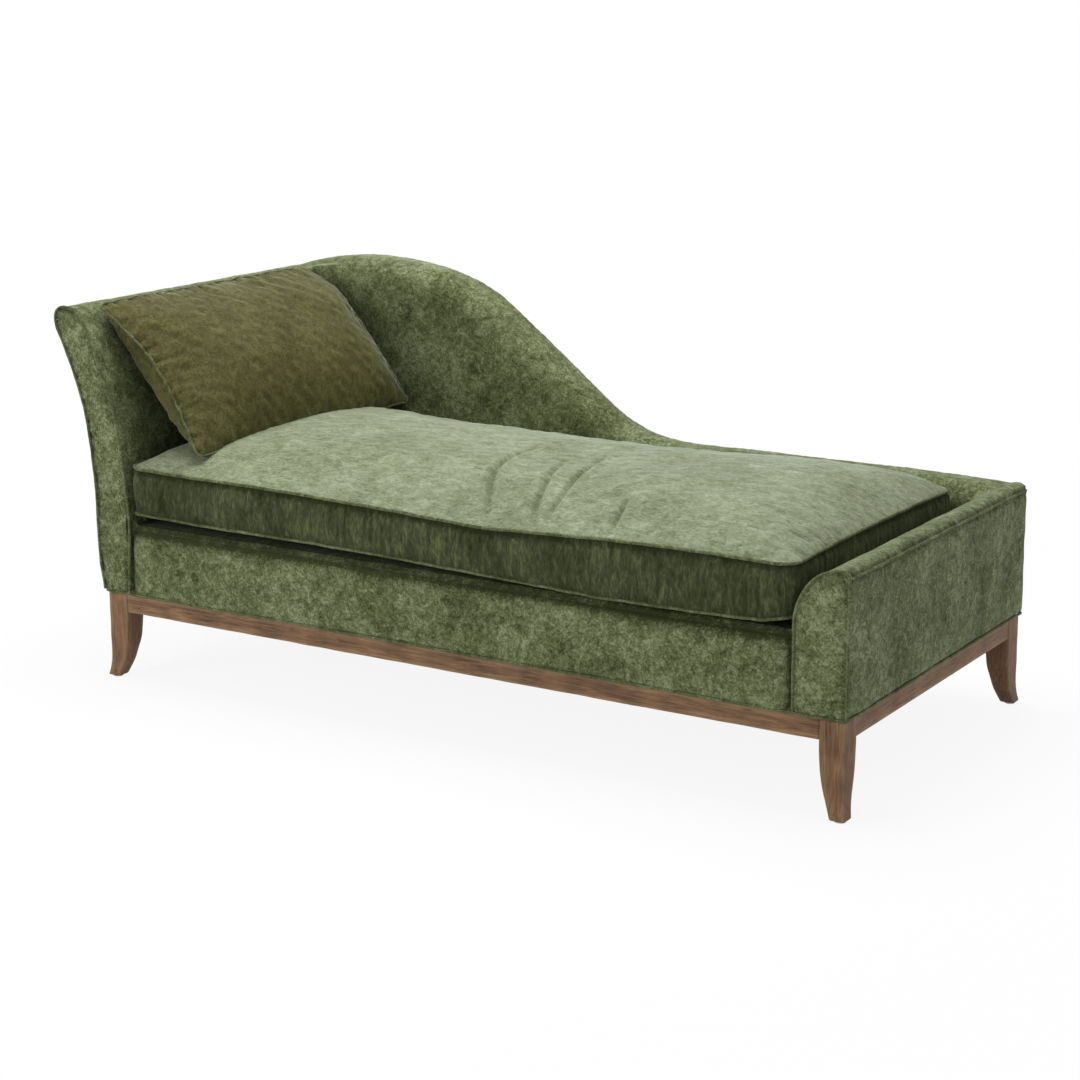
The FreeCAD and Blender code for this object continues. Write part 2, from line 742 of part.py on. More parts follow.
# Springs: one wire bent to and fro, held at both ends in a folded clip on the rails
def sinuous_spring():
    z = seat_rail_top + clip_plate + spring_wire / 2
    pitch = 2 * spring_reach / spring_turns
    radius = pitch / 2
    half_bar = spring_bar_length / 2
    spread = radius * math.sqrt(0.5)
    edges = []
    side = 1
    for turn in range(spring_turns + 1):
        y = -spring_reach + turn * pitch
        bar_start = Vector(-side * half_bar, y, z)
        edges.append(Part.LineSegment(bar_start, Vector(side * half_bar, y, z)).toShape())
        if turn < spring_turns:
            centre = Vector(side * half_bar, y + radius, z)
            apex = centre + Vector(side * radius, 0, 0)
            low = centre + Vector(side * spread, -spread, 0)
            high = centre + Vector(side * spread, spread, 0)
            edges.append(Part.Arc(Vector(centre.x, y, z), low, apex).toShape())
            edges.append(Part.Arc(apex, high, Vector(centre.x, y + pitch, z)).toShape())
        side = -side
    wire = Part.Wire(edges)
    ring = Part.Wire(Part.makeCircle(spring_wire / 2, Vector(-half_bar, -spring_reach, z), Vector(1, 0, 0)))
    shell = Part.BRepOffsetAPI.MakePipeShell(wire)
    shell.add(ring, False, False)
    shell.build()
    shell.makeSolid()
    spring = shell.shape()
    print("spring volume", round(spring.Volume), "of", round(wire.Length * math.pi * spring_wire ** 2 / 4))
    return spring


def spring_clip():
    z0 = seat_rail_top
    z1 = z0 + 2 * clip_plate + spring_wire
    wall_y = -spring_reach - spring_wire / 2 - clip_plate - clip_play
    open_y = wall_y + clip_length
    block = box(-clip_width / 2, wall_y, z0, clip_width / 2, open_y, z1)
    hollow = box(-clip_width, wall_y + clip_plate, z0 + clip_plate, clip_width, open_y + 1, z1 - clip_plate)
    return block.cut(hollow)


spring = sinuous_spring()
front_clip = spring_clip()
rear_clip = front_clip.mirror(Vector(0, 0, 0), Vector(0, 1, 0))
springs = []
clips = []
for index in range(spring_count):
    move = Vector((index - (spring_count - 1) / 2) * spring_spacing, 0, 0)
    for source, copies in ((spring, springs), (front_clip, clips), (rear_clip, clips)):
        copy = source.copy()
        copy.translate(move)
        copies.append(copy)
save("seat_springs", group(springs))
save("spring_clips", group(clips))


# Closed outline of a cushion, flat at one height: sides drawn in, corners rounded. Sides and
# corners are numbered from the front side and the front left corner, to the right and round.
def cushion_outline(sides, z, inset, drawn_in, radii):
    x0, x1, y0, y1 = sides
    square = [Vector(x0 + inset, y0 + inset, z), Vector(x1 - inset, y0 + inset, z),
              Vector(x1 - inset, y1 - inset, z), Vector(x0 + inset, y1 - inset, z)]
    ways = [Vector(1, 0, 0), Vector(0, 1, 0), Vector(-1, 0, 0), Vector(0, -1, 0)]
    largest = largest_rounding * min(x1 - x0 - 2 * inset, y1 - y0 - 2 * inset)
    rounds = [min(radius + corner_softening * inset, largest) for radius in radii]
    edges = []
    for index in range(4):
        after = (index + 1) % 4
        way = ways[index]
        inwards = ways[after]
        start = square[index] + way * rounds[index]
        end = square[after] - way * rounds[after]
        middle = (start + end) * 0.5 + inwards * drawn_in[index]
        if drawn_in[index] > 0:
            edges.append(Part.Arc(start, middle, end).toShape())
        else:
            edges.append(Part.LineSegment(start, end).toShape())
        reach = rounds[after] * (1 - math.sqrt(0.5))
        corner_middle = square[after] + (inwards - way) * reach
        corner_end = square[after] + inwards * rounds[after]
        edges.append(Part.Arc(end, corner_middle, corner_end).toShape())
    return Part.Wire(edges)


# Cushion at a depth below its surface, lofted through its outlines
def cushion_form(sides, levels, drawn_in, radii, depth):
    low = levels[0][0]
    high = levels[-1][0]
    outlines = []
    for z, inset in levels:
        part_up = (z - low) / (high - low)
        level = z + depth * (1 - 2 * part_up)
        outlines.append(cushion_outline(sides, level, inset + depth, drawn_in, radii))
    return Part.makeLoft(outlines, True, True)


def seat_cushion_form(depth):
    return cushion_form(cushion_sides, cushion_levels, cushion_drawn_in, cushion_corner_radii, depth)


def seat_cushion_welt(z):
    outline = cushion_outline(cushion_sides, z, cushion_welt_inset, cushion_drawn_in, cushion_corner_radii)
    return tube(outline, welt_diameter, up)


cushion_outer = seat_cushion_form(0.0)
cushion_inner = seat_cushion_form(cushion_cover_thickness)
cushion_core = seat_cushion_form(cushion_wrap_depth)
cushion_cover = cushion_outer.cut(cushion_inner)
cushion_welts = [seat_cushion_welt(cushion_low_welt), seat_cushion_welt(cushion_high_welt)]
below_low = box(-far, -far, 0, far, far, cushion_low_welt)
above_high = box(-far, -far, cushion_high_welt, far, far, far)

# Zip let into a shallow pocket of the rear side
rear_y = cushion_sides[3]
tape_back = rear_y - zip_pocket_depth
tape_front = tape_back + zip_tape_thickness
coil_front = tape_front + zip_coil_thickness
half_tape = zip_tape_width / 2
half_coil = zip_coil_width / 2
zip_pocket = box(-zip_reach, tape_back, zip_height - half_tape,
                 zip_reach, far, zip_height + half_tape)
zip_tape = box(-zip_reach, tape_back, zip_height - half_tape,
               zip_reach, tape_front, zip_height + half_tape)
zip_coil = box(-zip_reach, tape_front, zip_height - half_coil,
               zip_reach, coil_front, zip_height + half_coil)

slider_x = -zip_reach + slider_start
slider_back = tape_front + slider_gap
slider_front = coil_front + slider_gap + slider_plate
slider = box(slider_x, slider_back, zip_height - slider_width / 2,
             slider_x + slider_length, slider_front, zip_height + slider_width / 2)
half_groove = half_coil + slider_gap
slider_groove = box(slider_x - 1, slider_back - 1, zip_height - half_groove,
                    slider_x + slider_length + 1, coil_front + slider_gap, zip_height + half_groove)
pull_x = slider_x + slider_length / 2
pull = box(pull_x - pull_width / 2, slider_front, zip_height + pull_ends[0],
           pull_x + pull_width / 2, slider_front + pull_thickness, zip_height + pull_ends[1])
slider = slider.cut(slider_groove).fuse(pull)

cushion_wrap = cushion_inner.cut(cushion_core).cut(zip_pocket)
side_panel = cushion_cover.cut(below_low).cut(above_high).cut(zip_pocket)
save("cushion_core", cushion_core)
save("cushion_wrap", panel(cushion_wrap, cushion_welts))
save("cushion_top_panel", panel(cushion_cover.common(above_high), cushion_welts))
save("cushion_side_panel", panel(side_panel, cushion_welts))
save("cushion_bottom_panel", panel(cushion_cover.common(below_low), cushion_welts))
save("cushion_welts", group(cushion_welts))
save("cushion_zip", zip_tape.fuse(zip_coil))
save("cushion_zip_slider", slider)

# Lumbar pillow, made flat on its own middle and then stood against the head end
pillow_sides = (-pillow_length / 2, pillow_length / 2, -pillow_height / 2, pillow_height / 2)


def pillow_form(depth):
    return cushion_form(pillow_sides, pillow_levels, pillow_drawn_in, pillow_corner_radii, depth)


def stand_pillow(shape):
    along = Vector(pillow_long_side).normalize()
    front = along.cross(Vector(pillow_short_side)).normalize()
    rise = front.cross(along)
    matrix = FreeCAD.Matrix(along.x, rise.x, front.x, pillow_centre.x,
                            along.y, rise.y, front.y, pillow_centre.y,
                            along.z, rise.z, front.z, pillow_centre.z,
                            0, 0, 0, 1)
    placed = shape.copy()
    placed.Placement = FreeCAD.Placement(matrix)
    return placed


pillow_filling = pillow_form(pillow_cover_thickness)
pillow_cover = pillow_form(0.0).cut(pillow_filling)
pillow_outline = cushion_outline(pillow_sides, 0.0, pillow_welt_inset, pillow_drawn_in, pillow_corner_radii)
pillow_welt = tube(pillow_outline, pillow_welt_diameter, up)
front_half = box(-far, -far, 0, far, far, far)
pillow_seam = [pillow_welt]
save("pillow_filling", stand_pillow(panel(pillow_filling, pillow_seam)))
save("pillow_front_panel", stand_pillow(panel(pillow_cover.common(front_half), pillow_seam)))
save("pillow_back_panel", stand_pillow(panel(pillow_cover.cut(front_half), pillow_seam)))
save("pillow_welt", stand_pillow(pillow_welt))
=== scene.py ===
import bpy
import json
import math
import numpy as np
from mathutils import Matrix, Vector, kdtree


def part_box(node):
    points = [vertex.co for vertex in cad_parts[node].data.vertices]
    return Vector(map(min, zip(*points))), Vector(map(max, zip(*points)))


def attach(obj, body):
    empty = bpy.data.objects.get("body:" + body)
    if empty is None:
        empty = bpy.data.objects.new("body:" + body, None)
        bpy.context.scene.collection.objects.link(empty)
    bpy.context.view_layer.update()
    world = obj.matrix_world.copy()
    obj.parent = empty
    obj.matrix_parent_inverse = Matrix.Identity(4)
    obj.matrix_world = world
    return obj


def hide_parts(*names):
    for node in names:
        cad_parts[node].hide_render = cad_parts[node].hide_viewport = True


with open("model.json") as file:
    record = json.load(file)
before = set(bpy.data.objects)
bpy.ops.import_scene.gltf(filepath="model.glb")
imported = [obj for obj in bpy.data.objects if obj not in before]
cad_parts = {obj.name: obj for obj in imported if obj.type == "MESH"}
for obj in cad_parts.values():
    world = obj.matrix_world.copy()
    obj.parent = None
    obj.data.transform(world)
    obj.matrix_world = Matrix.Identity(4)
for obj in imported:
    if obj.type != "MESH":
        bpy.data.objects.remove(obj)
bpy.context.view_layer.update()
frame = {"nodes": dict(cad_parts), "record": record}
scene = bpy.context.scene
print("frame loaded:", len(frame["nodes"]), "nodes")

# Lengths are taken from the middle of the wooden base, which lies this far from the frame's origin
baseShift = 0.053
baseSize = {"halfLength": 0.900, "halfDepth": 0.434, "bottom": 0.2012}


def deselectAll():
    if bpy.context.object and bpy.context.object.mode != "OBJECT":
        bpy.ops.object.mode_set(mode="OBJECT")
    bpy.ops.object.select_all(action="DESELECT")


def pickOnly(piece):
    deselectAll()
    piece.select_set(True)
    bpy.context.view_layer.objects.active = piece


# Camera, as the photograph was taken: a long lens at eye height, in front of the foot end
cameraSetup = {"place": (2.6934, -4.2103, 1.5653), "turn": 32.424, "height": 13.914,
               "roll": -0.367, "focalPixels": 2377.65, "pictureWidth": 1080, "sensor": 36.0}


def addCamera(setup):
    turn, height, roll = (math.radians(setup[key]) for key in ("turn", "height", "roll"))
    back = Vector((math.sin(turn) * math.cos(height), -math.cos(turn) * math.cos(height), math.sin(height)))
    right = (-back).cross(Vector((0, 0, 1))).normalized()
    up = right.cross(-back)
    rolledRight = right * math.cos(roll) + up * math.sin(roll)
    rolledUp = up * math.cos(roll) - right * math.sin(roll)
    bpy.ops.object.camera_add()
    camera = bpy.context.object
    camera.name = "photoCamera"
    camera.matrix_world = Matrix.Translation(setup["place"]) @ Matrix(
        (rolledRight, rolledUp, back)).transposed().to_4x4()
    camera.data.sensor_width = setup["sensor"]
    camera.data.lens = setup["focalPixels"] / setup["pictureWidth"] * setup["sensor"]
    camera.data.clip_end = 100
    scene.camera = camera


# One node of a material, with its settings, values and links
def addNode(tree, kind, settings=None, values=None, links=None, stops=None):
    node = tree.nodes.new(kind)
    for name, value in (settings or {}).items():
        setattr(node, name, value)
    for name, value in (values or {}).items():
        node.inputs[name].default_value = value
    for name, source in (links or {}).items():
        tree.links.new(source, node.inputs[name])
    for index, (place, colour) in enumerate(stops or []):
        elements = node.color_ramp.elements
        element = elements[index] if index < 2 else elements.new(place)
        element.position = place
        element.color = colour
    return node


def fromHex(text):
    # sRGB hex to the linear numbers that sockets take
    numbers = []
    for start in (1, 3, 5):
        level = int(text[start:start + 2], 16) / 255
        numbers.append(level / 12.92 if level <= 0.04045 else ((level + 0.055) / 1.055) ** 2.4)
    return (*numbers, 1.0)


def startMaterial(name):
    material = bpy.data.materials.new(name)
    material.use_nodes = True
    material.node_tree.nodes.clear()
    return material, material.node_tree


def finishMaterial(material, shader):
    tree = material.node_tree
    addNode(tree, "ShaderNodeOutputMaterial", links={"Surface": shader})
    return material


# Studio: white backdrop and a floor that keeps a light shadow
studio = {"backdrop": "#ffffff", "ambient": "#f4f6f8", "ambientStrength": 0.46, "floorGrey": "#f4f4f4",
          "floorSize": 60.0, "floorWhite": 0.90, "shadowReach": (1.3, 2.6)}


def seenDirectly(tree):
    # 1 for rays from the camera, a mirror or glass, and 0 for those that only carry light
    path = addNode(tree, "ShaderNodeLightPath")
    mirrored = addNode(tree, "ShaderNodeMath", {"operation": "MAXIMUM"},
                       links={0: path.outputs["Is Glossy Ray"], 1: path.outputs["Is Transmission Ray"]})
    seen = addNode(tree, "ShaderNodeMath", {"operation": "MAXIMUM"},
                   links={0: path.outputs["Is Camera Ray"], 1: mirrored.outputs[0]})
    return seen.outputs[0]


def buildStudio(values):
    world = bpy.data.worlds.new("studioWorld")
    scene.world = world
    world.use_nodes = True
    tree = world.node_tree
    tree.nodes.clear()
    ambient = addNode(tree, "ShaderNodeBackground",
                      values={"Color": fromHex(values["ambient"]), "Strength": values["ambientStrength"]})
    white = addNode(tree, "ShaderNodeBackground",
                    values={"Color": fromHex(values["backdrop"]), "Strength": 1.0})
    mixed = addNode(tree, "ShaderNodeMixShader",
                    links={0: seenDirectly(tree), 1: ambient.outputs[0], 2: white.outputs[0]})
    addNode(tree, "ShaderNodeOutputWorld", links={"Surface": mixed.outputs[0]})

    material, tree = startMaterial("paintedStudioFloor")
    place = addNode(tree, "ShaderNodeTexCoord").outputs["Object"]
    away = addNode(tree, "ShaderNodeVectorMath", {"operation": "LENGTH"}, links={0: place})
    white = addNode(tree, "ShaderNodeMapRange", values={"From Min": values["shadowReach"][0],
                    "From Max": values["shadowReach"][1], "To Min": values["floorWhite"], "To Max": 1.0},
                    links={"Value": away.outputs["Value"]})
    share = addNode(tree, "ShaderNodeMath", {"operation": "MULTIPLY"},
                    links={0: seenDirectly(tree), 1: white.outputs[0]})
    matt = addNode(tree, "ShaderNodeBsdfDiffuse", values={"Color": fromHex(values["floorGrey"])})
    glow = addNode(tree, "ShaderNodeEmission", values={"Color": fromHex(values["backdrop"]), "Strength": 1.0})
    mixed = addNode(tree, "ShaderNodeMixShader",
                    links={0: share.outputs[0], 1: matt.outputs[0], 2: glow.outputs[0]})
    finishMaterial(material, mixed.outputs[0])

    deselectAll()
    bpy.ops.mesh.primitive_plane_add(size=values["floorSize"])
    floor = bpy.context.object
    floor.name = "studioFloor"
    floor.data.materials.append(material)


# Soft boxes: a wide one overhead, a weaker one from the front left, and a thin fill from the foot end
lamps = {
    "overheadSoftBox": {"place": (-0.4, 0.4, 3.6), "aim": (0.0, 0.0, 0.3), "size": 3.0, "power": 118},
    "frontSoftBox": {"place": (-2.6, -4.2, 2.0), "aim": (0.0, 0.0, 0.4), "size": 2.0, "power": 74},
    "footFill": {"place": (4.2, -1.2, 1.4), "aim": (0.0, 0.0, 0.4), "size": 2.0, "power": 5},
}


def addLamps(values):
    for name, lamp in values.items():
        bpy.ops.object.light_add(type="AREA", location=lamp["place"])
        light = bpy.context.object
        light.name = name
        light.data.shape = "DISK"
        light.data.size = lamp["size"]
        light.data.energy = lamp["power"]
        aim = Vector(lamp["aim"]) - Vector(lamp["place"])
        light.rotation_euler = aim.to_track_quat("-Z", "Y").to_euler()
        light.visible_camera = False


scene.view_settings.view_transform = "Standard"
addCamera(cameraSetup)
buildStudio(studio)
addLamps(lamps)
print("camera, studio and lamps placed")


# Crushed velvet: woven polyester pile, pressed in patches, so it mottles from olive to pale sage, and its
# standing fibres turn light where they are seen edge on. The patches are about 17 mm across with flecks
# of 4 mm in them; the pile itself is finer than the picture shows, so it is drawn 1.3 mm coarse.
# Each layer of the pattern has its size in metres, detail, roughness and distortion.
velvet = {
    "blotch": (0.12, 2.0, 0.5, 0.4), "patch": (0.017, 5.0, 0.66, 0.9), "fleck": (0.0040, 2.0, 0.6, 0.3),
    "vein": (0.024, 3.0, 0.7, 1.6), "pile": (0.0013, 1.0, 0.5, 0.0),
    "shares": {"blotch": 0.20, "patch": 0.46, "fleck": 0.34},
    "veinWidth": 0.016, "veinDepth": 0.050, "foldShade": 0.14, "pileShare": 0.12, "bump": 0.0009,
    "sheenRoughness": 0.27,
}


def makeVelvet(name, deep, mid, light, stretch=(1.0, 1.0, 1.0), contrast=0.12, sheen=0.6, tint="#c6d0c0"):
    material, tree = startMaterial(name)
    place = addNode(tree, "ShaderNodeTexCoord").outputs["Object"]
    drawn = addNode(tree, "ShaderNodeMapping", values={"Scale": stretch}, links={"Vector": place}).outputs[0]
    layers = {}
    for layer in ("blotch", "patch", "fleck", "vein", "pile"):
        vector = place if layer in ("blotch", "pile") else drawn
        size, detail, roughness, distortion = velvet[layer]
        noise = addNode(tree, "ShaderNodeTexNoise", values={"Scale": 1 / size, "Detail": detail,
                        "Roughness": roughness, "Distortion": distortion}, links={"Vector": vector})
        layers[layer] = noise.outputs["Fac"]
    mottled = None
    for layer, share in velvet["shares"].items():
        sources = {0: layers[layer], 2: mottled} if mottled else {0: layers[layer]}
        mottled = addNode(tree, "ShaderNodeMath", {"operation": "MULTIPLY_ADD"}, {1: share, 2: 0.0},
                          sources).outputs[0]
    middle = addNode(tree, "ShaderNodeMath", {"operation": "SUBTRACT"}, {1: 0.5}, {0: layers["vein"]})
    besides = addNode(tree, "ShaderNodeMath", {"operation": "ABSOLUTE"}, links={0: middle.outputs[0]})
    vein = addNode(tree, "ShaderNodeMapRange", values={"From Min": 0.0, "From Max": velvet["veinWidth"],
                   "To Min": -velvet["veinDepth"], "To Max": 0.0}, links={"Value": besides.outputs[0]})
    veined = addNode(tree, "ShaderNodeMath", {"operation": "ADD"},
                     links={0: mottled, 1: vein.outputs[0]})
    # painted shade: the velvet darkens where the fold attribute marks folds, seams and dips
    foldShadeAmount = addNode(tree, "ShaderNodeAttribute", {"attribute_name": "paintedFoldShade"}).outputs["Fac"]
    crushedAndShaded = addNode(tree, "ShaderNodeMath", {"operation": "MULTIPLY_ADD"}, {1: -velvet["foldShade"]},
                      {0: foldShadeAmount, 2: veined.outputs[0]})
    colour = addNode(tree, "ShaderNodeValToRGB", links={"Fac": crushedAndShaded.outputs[0]},
                     stops=[(0.5 - contrast, fromHex(deep)), (0.5 + contrast, fromHex(light)),
                            (0.5, fromHex(mid))])
    dullness = addNode(tree, "ShaderNodeMapRange", values={"From Min": 0.35, "From Max": 0.65, "To Min": 0.95,
                       "To Max": 0.72}, links={"Value": crushedAndShaded.outputs[0]})
    relief = addNode(tree, "ShaderNodeMath", {"operation": "MULTIPLY_ADD"}, {1: velvet["pileShare"]},
                     {0: layers["pile"], 2: crushedAndShaded.outputs[0]})
    bump = addNode(tree, "ShaderNodeBump", values={"Strength": 0.6, "Distance": velvet["bump"]},
                   links={"Height": relief.outputs[0]})
    shader = addNode(tree, "ShaderNodeBsdfPrincipled",
                     values={"Specular IOR Level": 0.2, "Sheen Weight": sheen, "Sheen Tint": fromHex(tint),
                             "Sheen Roughness": velvet["sheenRoughness"]},
                     links={"Base Color": colour.outputs[0], "Roughness": dullness.outputs[0],
                            "Normal": bump.outputs[0]})
    return finishMaterial(material, shader.outputs[0])


# Deep, middle and light tone of each part's velvet; some copies are lighter or darker as painted light and
# shade
bodyVelvet = makeVelvet("crushedVelvetBody", "#363d20", "#626945", "#8e9673")
# the boxing's velvet is darker; it is also laid as painted shade on the deck and the cushion's underside
boxingAndShadeVelvet = makeVelvet("crushedVelvetBoxingAndShade", "#23290f", "#3d4329", "#61683f",
                          stretch=(1.0, 1.0, 0.30), contrast=0.15, sheen=0.20)
# painted light: the cushion's velvet is lighter, as its top is lit from above
litCushionVelvet = makeVelvet("crushedVelvetCushionLit", "#5a6042", "#7f866a", "#9ea58b",
                           stretch=(0.6, 1.0, 1.0), contrast=0.15, tint="#c6d2cc")
pillowVelvet = makeVelvet("crushedVelvetPillow", "#37371a", "#524f29", "#6d6a40",
                          contrast=0.16, sheen=0.9, tint="#cdd8d0")
# painted shade: the piping's velvet is darker than the body's, for the shadow beside each cord
shadedPipingVelvet = makeVelvet("crushedVelvetPipingShaded", "#363c20", "#595f3c", "#7c8260", sheen=0.42)


# Smooth line through a few points, sampled evenly. The ends may be given a direction.
def smoothLine(points, spacing, startWay=None, endWay=None):
    known = np.array(points, float)
    gaps = np.linalg.norm(np.diff(known, axis=0), axis=1)
    count = len(known)
    matrix = np.zeros((count, count))
    right = np.zeros_like(known)
    matrix[0, 0] = matrix[-1, -1] = 1
    if startWay is not None:
        matrix[0, :2] = (2 * gaps[0], gaps[0])
        right[0] = 6 * ((known[1] - known[0]) / gaps[0] - np.array(startWay))
        matrix[-1, -2:] = (gaps[-1], 2 * gaps[-1])
        right[-1] = 6 * (np.array(endWay) - (known[-1] - known[-2]) / gaps[-1])
    for index in range(1, count - 1):
        before, after = gaps[index - 1], gaps[index]
        matrix[index, index - 1:index + 2] = (before, 2 * (before + after), after)
        right[index] = 6 * ((known[index + 1] - known[index]) / after
                            - (known[index] - known[index - 1]) / before)
    bend = np.linalg.solve(matrix, right)
    fine = []
    for index in range(count - 1):
        gap = gaps[index]
        for step in np.linspace(0, gap, 24, endpoint=index == count - 2):
            rest = gap - step
            fine.append(bend[index] * rest ** 3 / (6 * gap) + bend[index + 1] * step ** 3 / (6 * gap)
                        + (known[index] / gap - bend[index] * gap / 6) * rest
                        + (known[index + 1] / gap - bend[index + 1] * gap / 6) * step)
    return evenly(np.array(fine), spacing=spacing)


# A line's points at equal steps along it
def evenly(points, spacing=None, count=None):
    along = np.concatenate([[0], np.cumsum(np.linalg.norm(np.diff(points, axis=0), axis=1))])
    if count is None:
        count = max(2, int(round(along[-1] / spacing)))
    places = np.linspace(0, along[-1], count + 1)
    return np.stack([np.interp(places, along, points[:, axis]) for axis in range(points.shape[1])], axis=1)


# Smooth irregular waves of about one size over the given points, between -1 and 1
def waves(points, size, seed, count=9):
    random = np.random.default_rng(seed)
    total = np.zeros(len(points))
    for _ in range(count):
        way = random.normal(size=points.shape[1])
        way *= 2 * math.pi / (size * random.uniform(0.75, 1.35) * np.linalg.norm(way))
        total += np.sin(points @ way + random.uniform(0, 2 * math.pi))
    return total / math.sqrt(count)


def readTriples(items, kind):
    flat = np.zeros(len(items) * 3, np.float32)
    items.foreach_get(kind, flat)
    return flat.reshape(-1, 3).astype(float)


def readPoints(mesh):
    return readTriples(mesh.vertices, "co")


def readNormals(mesh):
    return readTriples(mesh.vertices, "normal")


def writePoints(mesh, points):
    mesh.vertices.foreach_set("co", points.astype(np.float32).ravel())
    mesh.update()


# How deep each point lies in a fold, seam or pucker, from 0 to 1, stored as painted shade that darkens the
# velvet there
def markPaintedShade(piece, depth):
    attribute = piece.data.attributes.get("paintedFoldShade") or piece.data.attributes.new("paintedFoldShade", "FLOAT", "POINT")
    attribute.data.foreach_set("value", np.clip(depth, 0, 1).astype(np.float32))


def newPiece(name, points, faces, material):
    mesh = bpy.data.meshes.new(name)
    mesh.from_pydata([tuple(point) for point in points], [], faces)
    mesh.validate()
    piece = bpy.data.objects.new(name, mesh)
    scene.collection.objects.link(piece)
    piece.data.materials.append(material)
    return piece


def applyModifier(piece, kind, **settings):
    pickOnly(piece)
    modifier = piece.modifiers.new(kind, kind)
    for name, value in settings.items():
        setattr(modifier, name, value)
    bpy.ops.object.modifier_apply(modifier=modifier.name)


# Some faces of a shell as a piece of their own
def cutOut(shell, faceNumbers, name, material, shadeDepths=None):
    points = readPoints(shell.data)
    faces = [tuple(shell.data.polygons[index].vertices) for index in faceNumbers]
    used = sorted({corner for face in faces for corner in face})
    place = {old: new for new, old in enumerate(used)}
    faces = [tuple(place[corner] for corner in face) for face in faces]
    piece = newPiece(name, points[used], faces, material)
    if shadeDepths is not None:
        markPaintedShade(piece, shadeDepths[used])
    return piece


def smoothShade(piece, angle=60):
    pickOnly(piece)
    bpy.ops.object.shade_smooth_by_angle(angle=math.radians(angle))


# Upholstery of the body. Outlines are in metres from the middle of the base, X and Z.
body = {
    "head": [(-0.900, 0.2012), (-0.909, 0.276), (-0.911, 0.401), (-0.917, 0.490), (-0.930, 0.585),
             (-0.955, 0.670), (-0.989, 0.749), (-1.004, 0.788), (-1.001, 0.811), (-0.984, 0.822),
             (-0.957, 0.818), (-0.927, 0.793), (-0.887, 0.703), (-0.853, 0.607), (-0.836, 0.521),
             (-0.826, 0.430), (-0.820, 0.367), (-0.824, 0.276), (-0.828, 0.2012)],
    "foot": [(0.790, 0.361), (0.7955, 0.405), (0.811, 0.436), (0.836, 0.464), (0.864, 0.477),
             (0.885, 0.480), (0.897, 0.474), (0.900, 0.460)],
    "crest": [(-0.984, 0.818), (-0.907, 0.841), (-0.830, 0.854), (-0.756, 0.858), (-0.682, 0.857),
              (-0.610, 0.850), (-0.537, 0.837), (-0.467, 0.815), (-0.397, 0.780), (-0.342, 0.741),
              (-0.233, 0.660), (-0.125, 0.576), (-0.040, 0.519), (0.045, 0.492), (0.200, 0.486),
              (0.500, 0.486), (0.790, 0.484), (0.900, 0.478)],
    "headBack": [(-1.06, 0.19), (-0.865, 0.19), (-0.88, 0.5), (-0.94, 0.70), (-0.985, 0.792), (-1.06, 0.792)],
    "crestDrop": 0.020, "wallInner": 0.330, "deckTop": 0.352, "borderRoll": 0.409,
    "footTopLine": 0.465, "headBackLine": (-1.0045, 0.792), "inset": 0.0006, "sideGap": 0.006,
    "faceDepth": 0.009, "faceTurn": 0.6, "near": 0.004,
    "voxel": 0.005, "smoothing": 4, "cover": 0.002, "middle": (1.778, 0.846), "snap": 0.010,
    "seamDip": 0.0030, "seamReach": 0.009, "pucker": 0.0010, "puckerReach": 0.026, "puckerStart": 0.006,
    "swell": 0.0018, "swellReach": 0.03, "rollDip": 0.011, "rollReach": 0.020, "rollEnds": (-0.83, 0.795),
    "grooveDip": 0.0075, "grooveReach": 0.013, "grooveEnds": (-0.824, 0.790), "seamStep": 0.002,
}


def seamLines(values):
    # each seam's line in the model frame
    step = values["seamStep"]
    rear = baseSize["halfDepth"] - values["inset"]

    def upright(flat, depth):
        return np.stack([flat[:, 0], np.full(len(flat), depth), flat[:, 1]], axis=1)

    head = smoothLine(values["head"], step)
    rolledTop = smoothLine(values["foot"], step, (0, 1), (0, -1))
    inside = np.array([(values["foot"][0][0], baseSize["bottom"]), values["foot"][0]])
    outside = np.array([values["foot"][-1], (values["foot"][-1][0], baseSize["bottom"])])
    foot = evenly(np.concatenate([inside, rolledTop[1:], outside[1:]]), spacing=step)
    crest = smoothLine(values["crest"], step)
    slope = np.gradient(crest, axis=0)
    slope /= np.linalg.norm(slope, axis=1)[:, None]
    lowered = crest + np.stack([slope[:, 1], -slope[:, 0]], axis=1) * values["crestDrop"]
    lowered = lowered[(lowered[:, 0] > -0.90) & (lowered[:, 0] < baseSize["halfLength"] - 0.002)]
    lines = {"head": upright(head, -rear), "foot": upright(foot, -rear), "rearTop": upright(lowered, rear)}
    reach = baseSize["halfDepth"] - values["sideGap"]
    footTop = (baseSize["halfLength"] - values["inset"], values["footTopLine"])
    for name, (x, z) in (("footTop", footTop), ("headBack", values["headBackLine"])):
        lines[name] = np.array([(x, y, z) for y in np.arange(-reach, reach, step)])
    for line in lines.values():
        line[:, 0] += baseShift
    return lines


def insideOutline(points, outline):
    # which of the points lie inside a closed flat outline
    inside = np.zeros(len(points), bool)
    last = outline[-1]
    for corner in outline:
        crosses = (corner[1] > points[:, 1]) != (last[1] > points[:, 1])
        if abs(corner[1] - last[1]) > 1e-12:
            place = (last[0] - corner[0]) * (points[:, 1] - corner[1]) / (last[1] - corner[1]) + corner[0]
            inside ^= crosses & (points[:, 0] < place)
        last = corner
    return inside


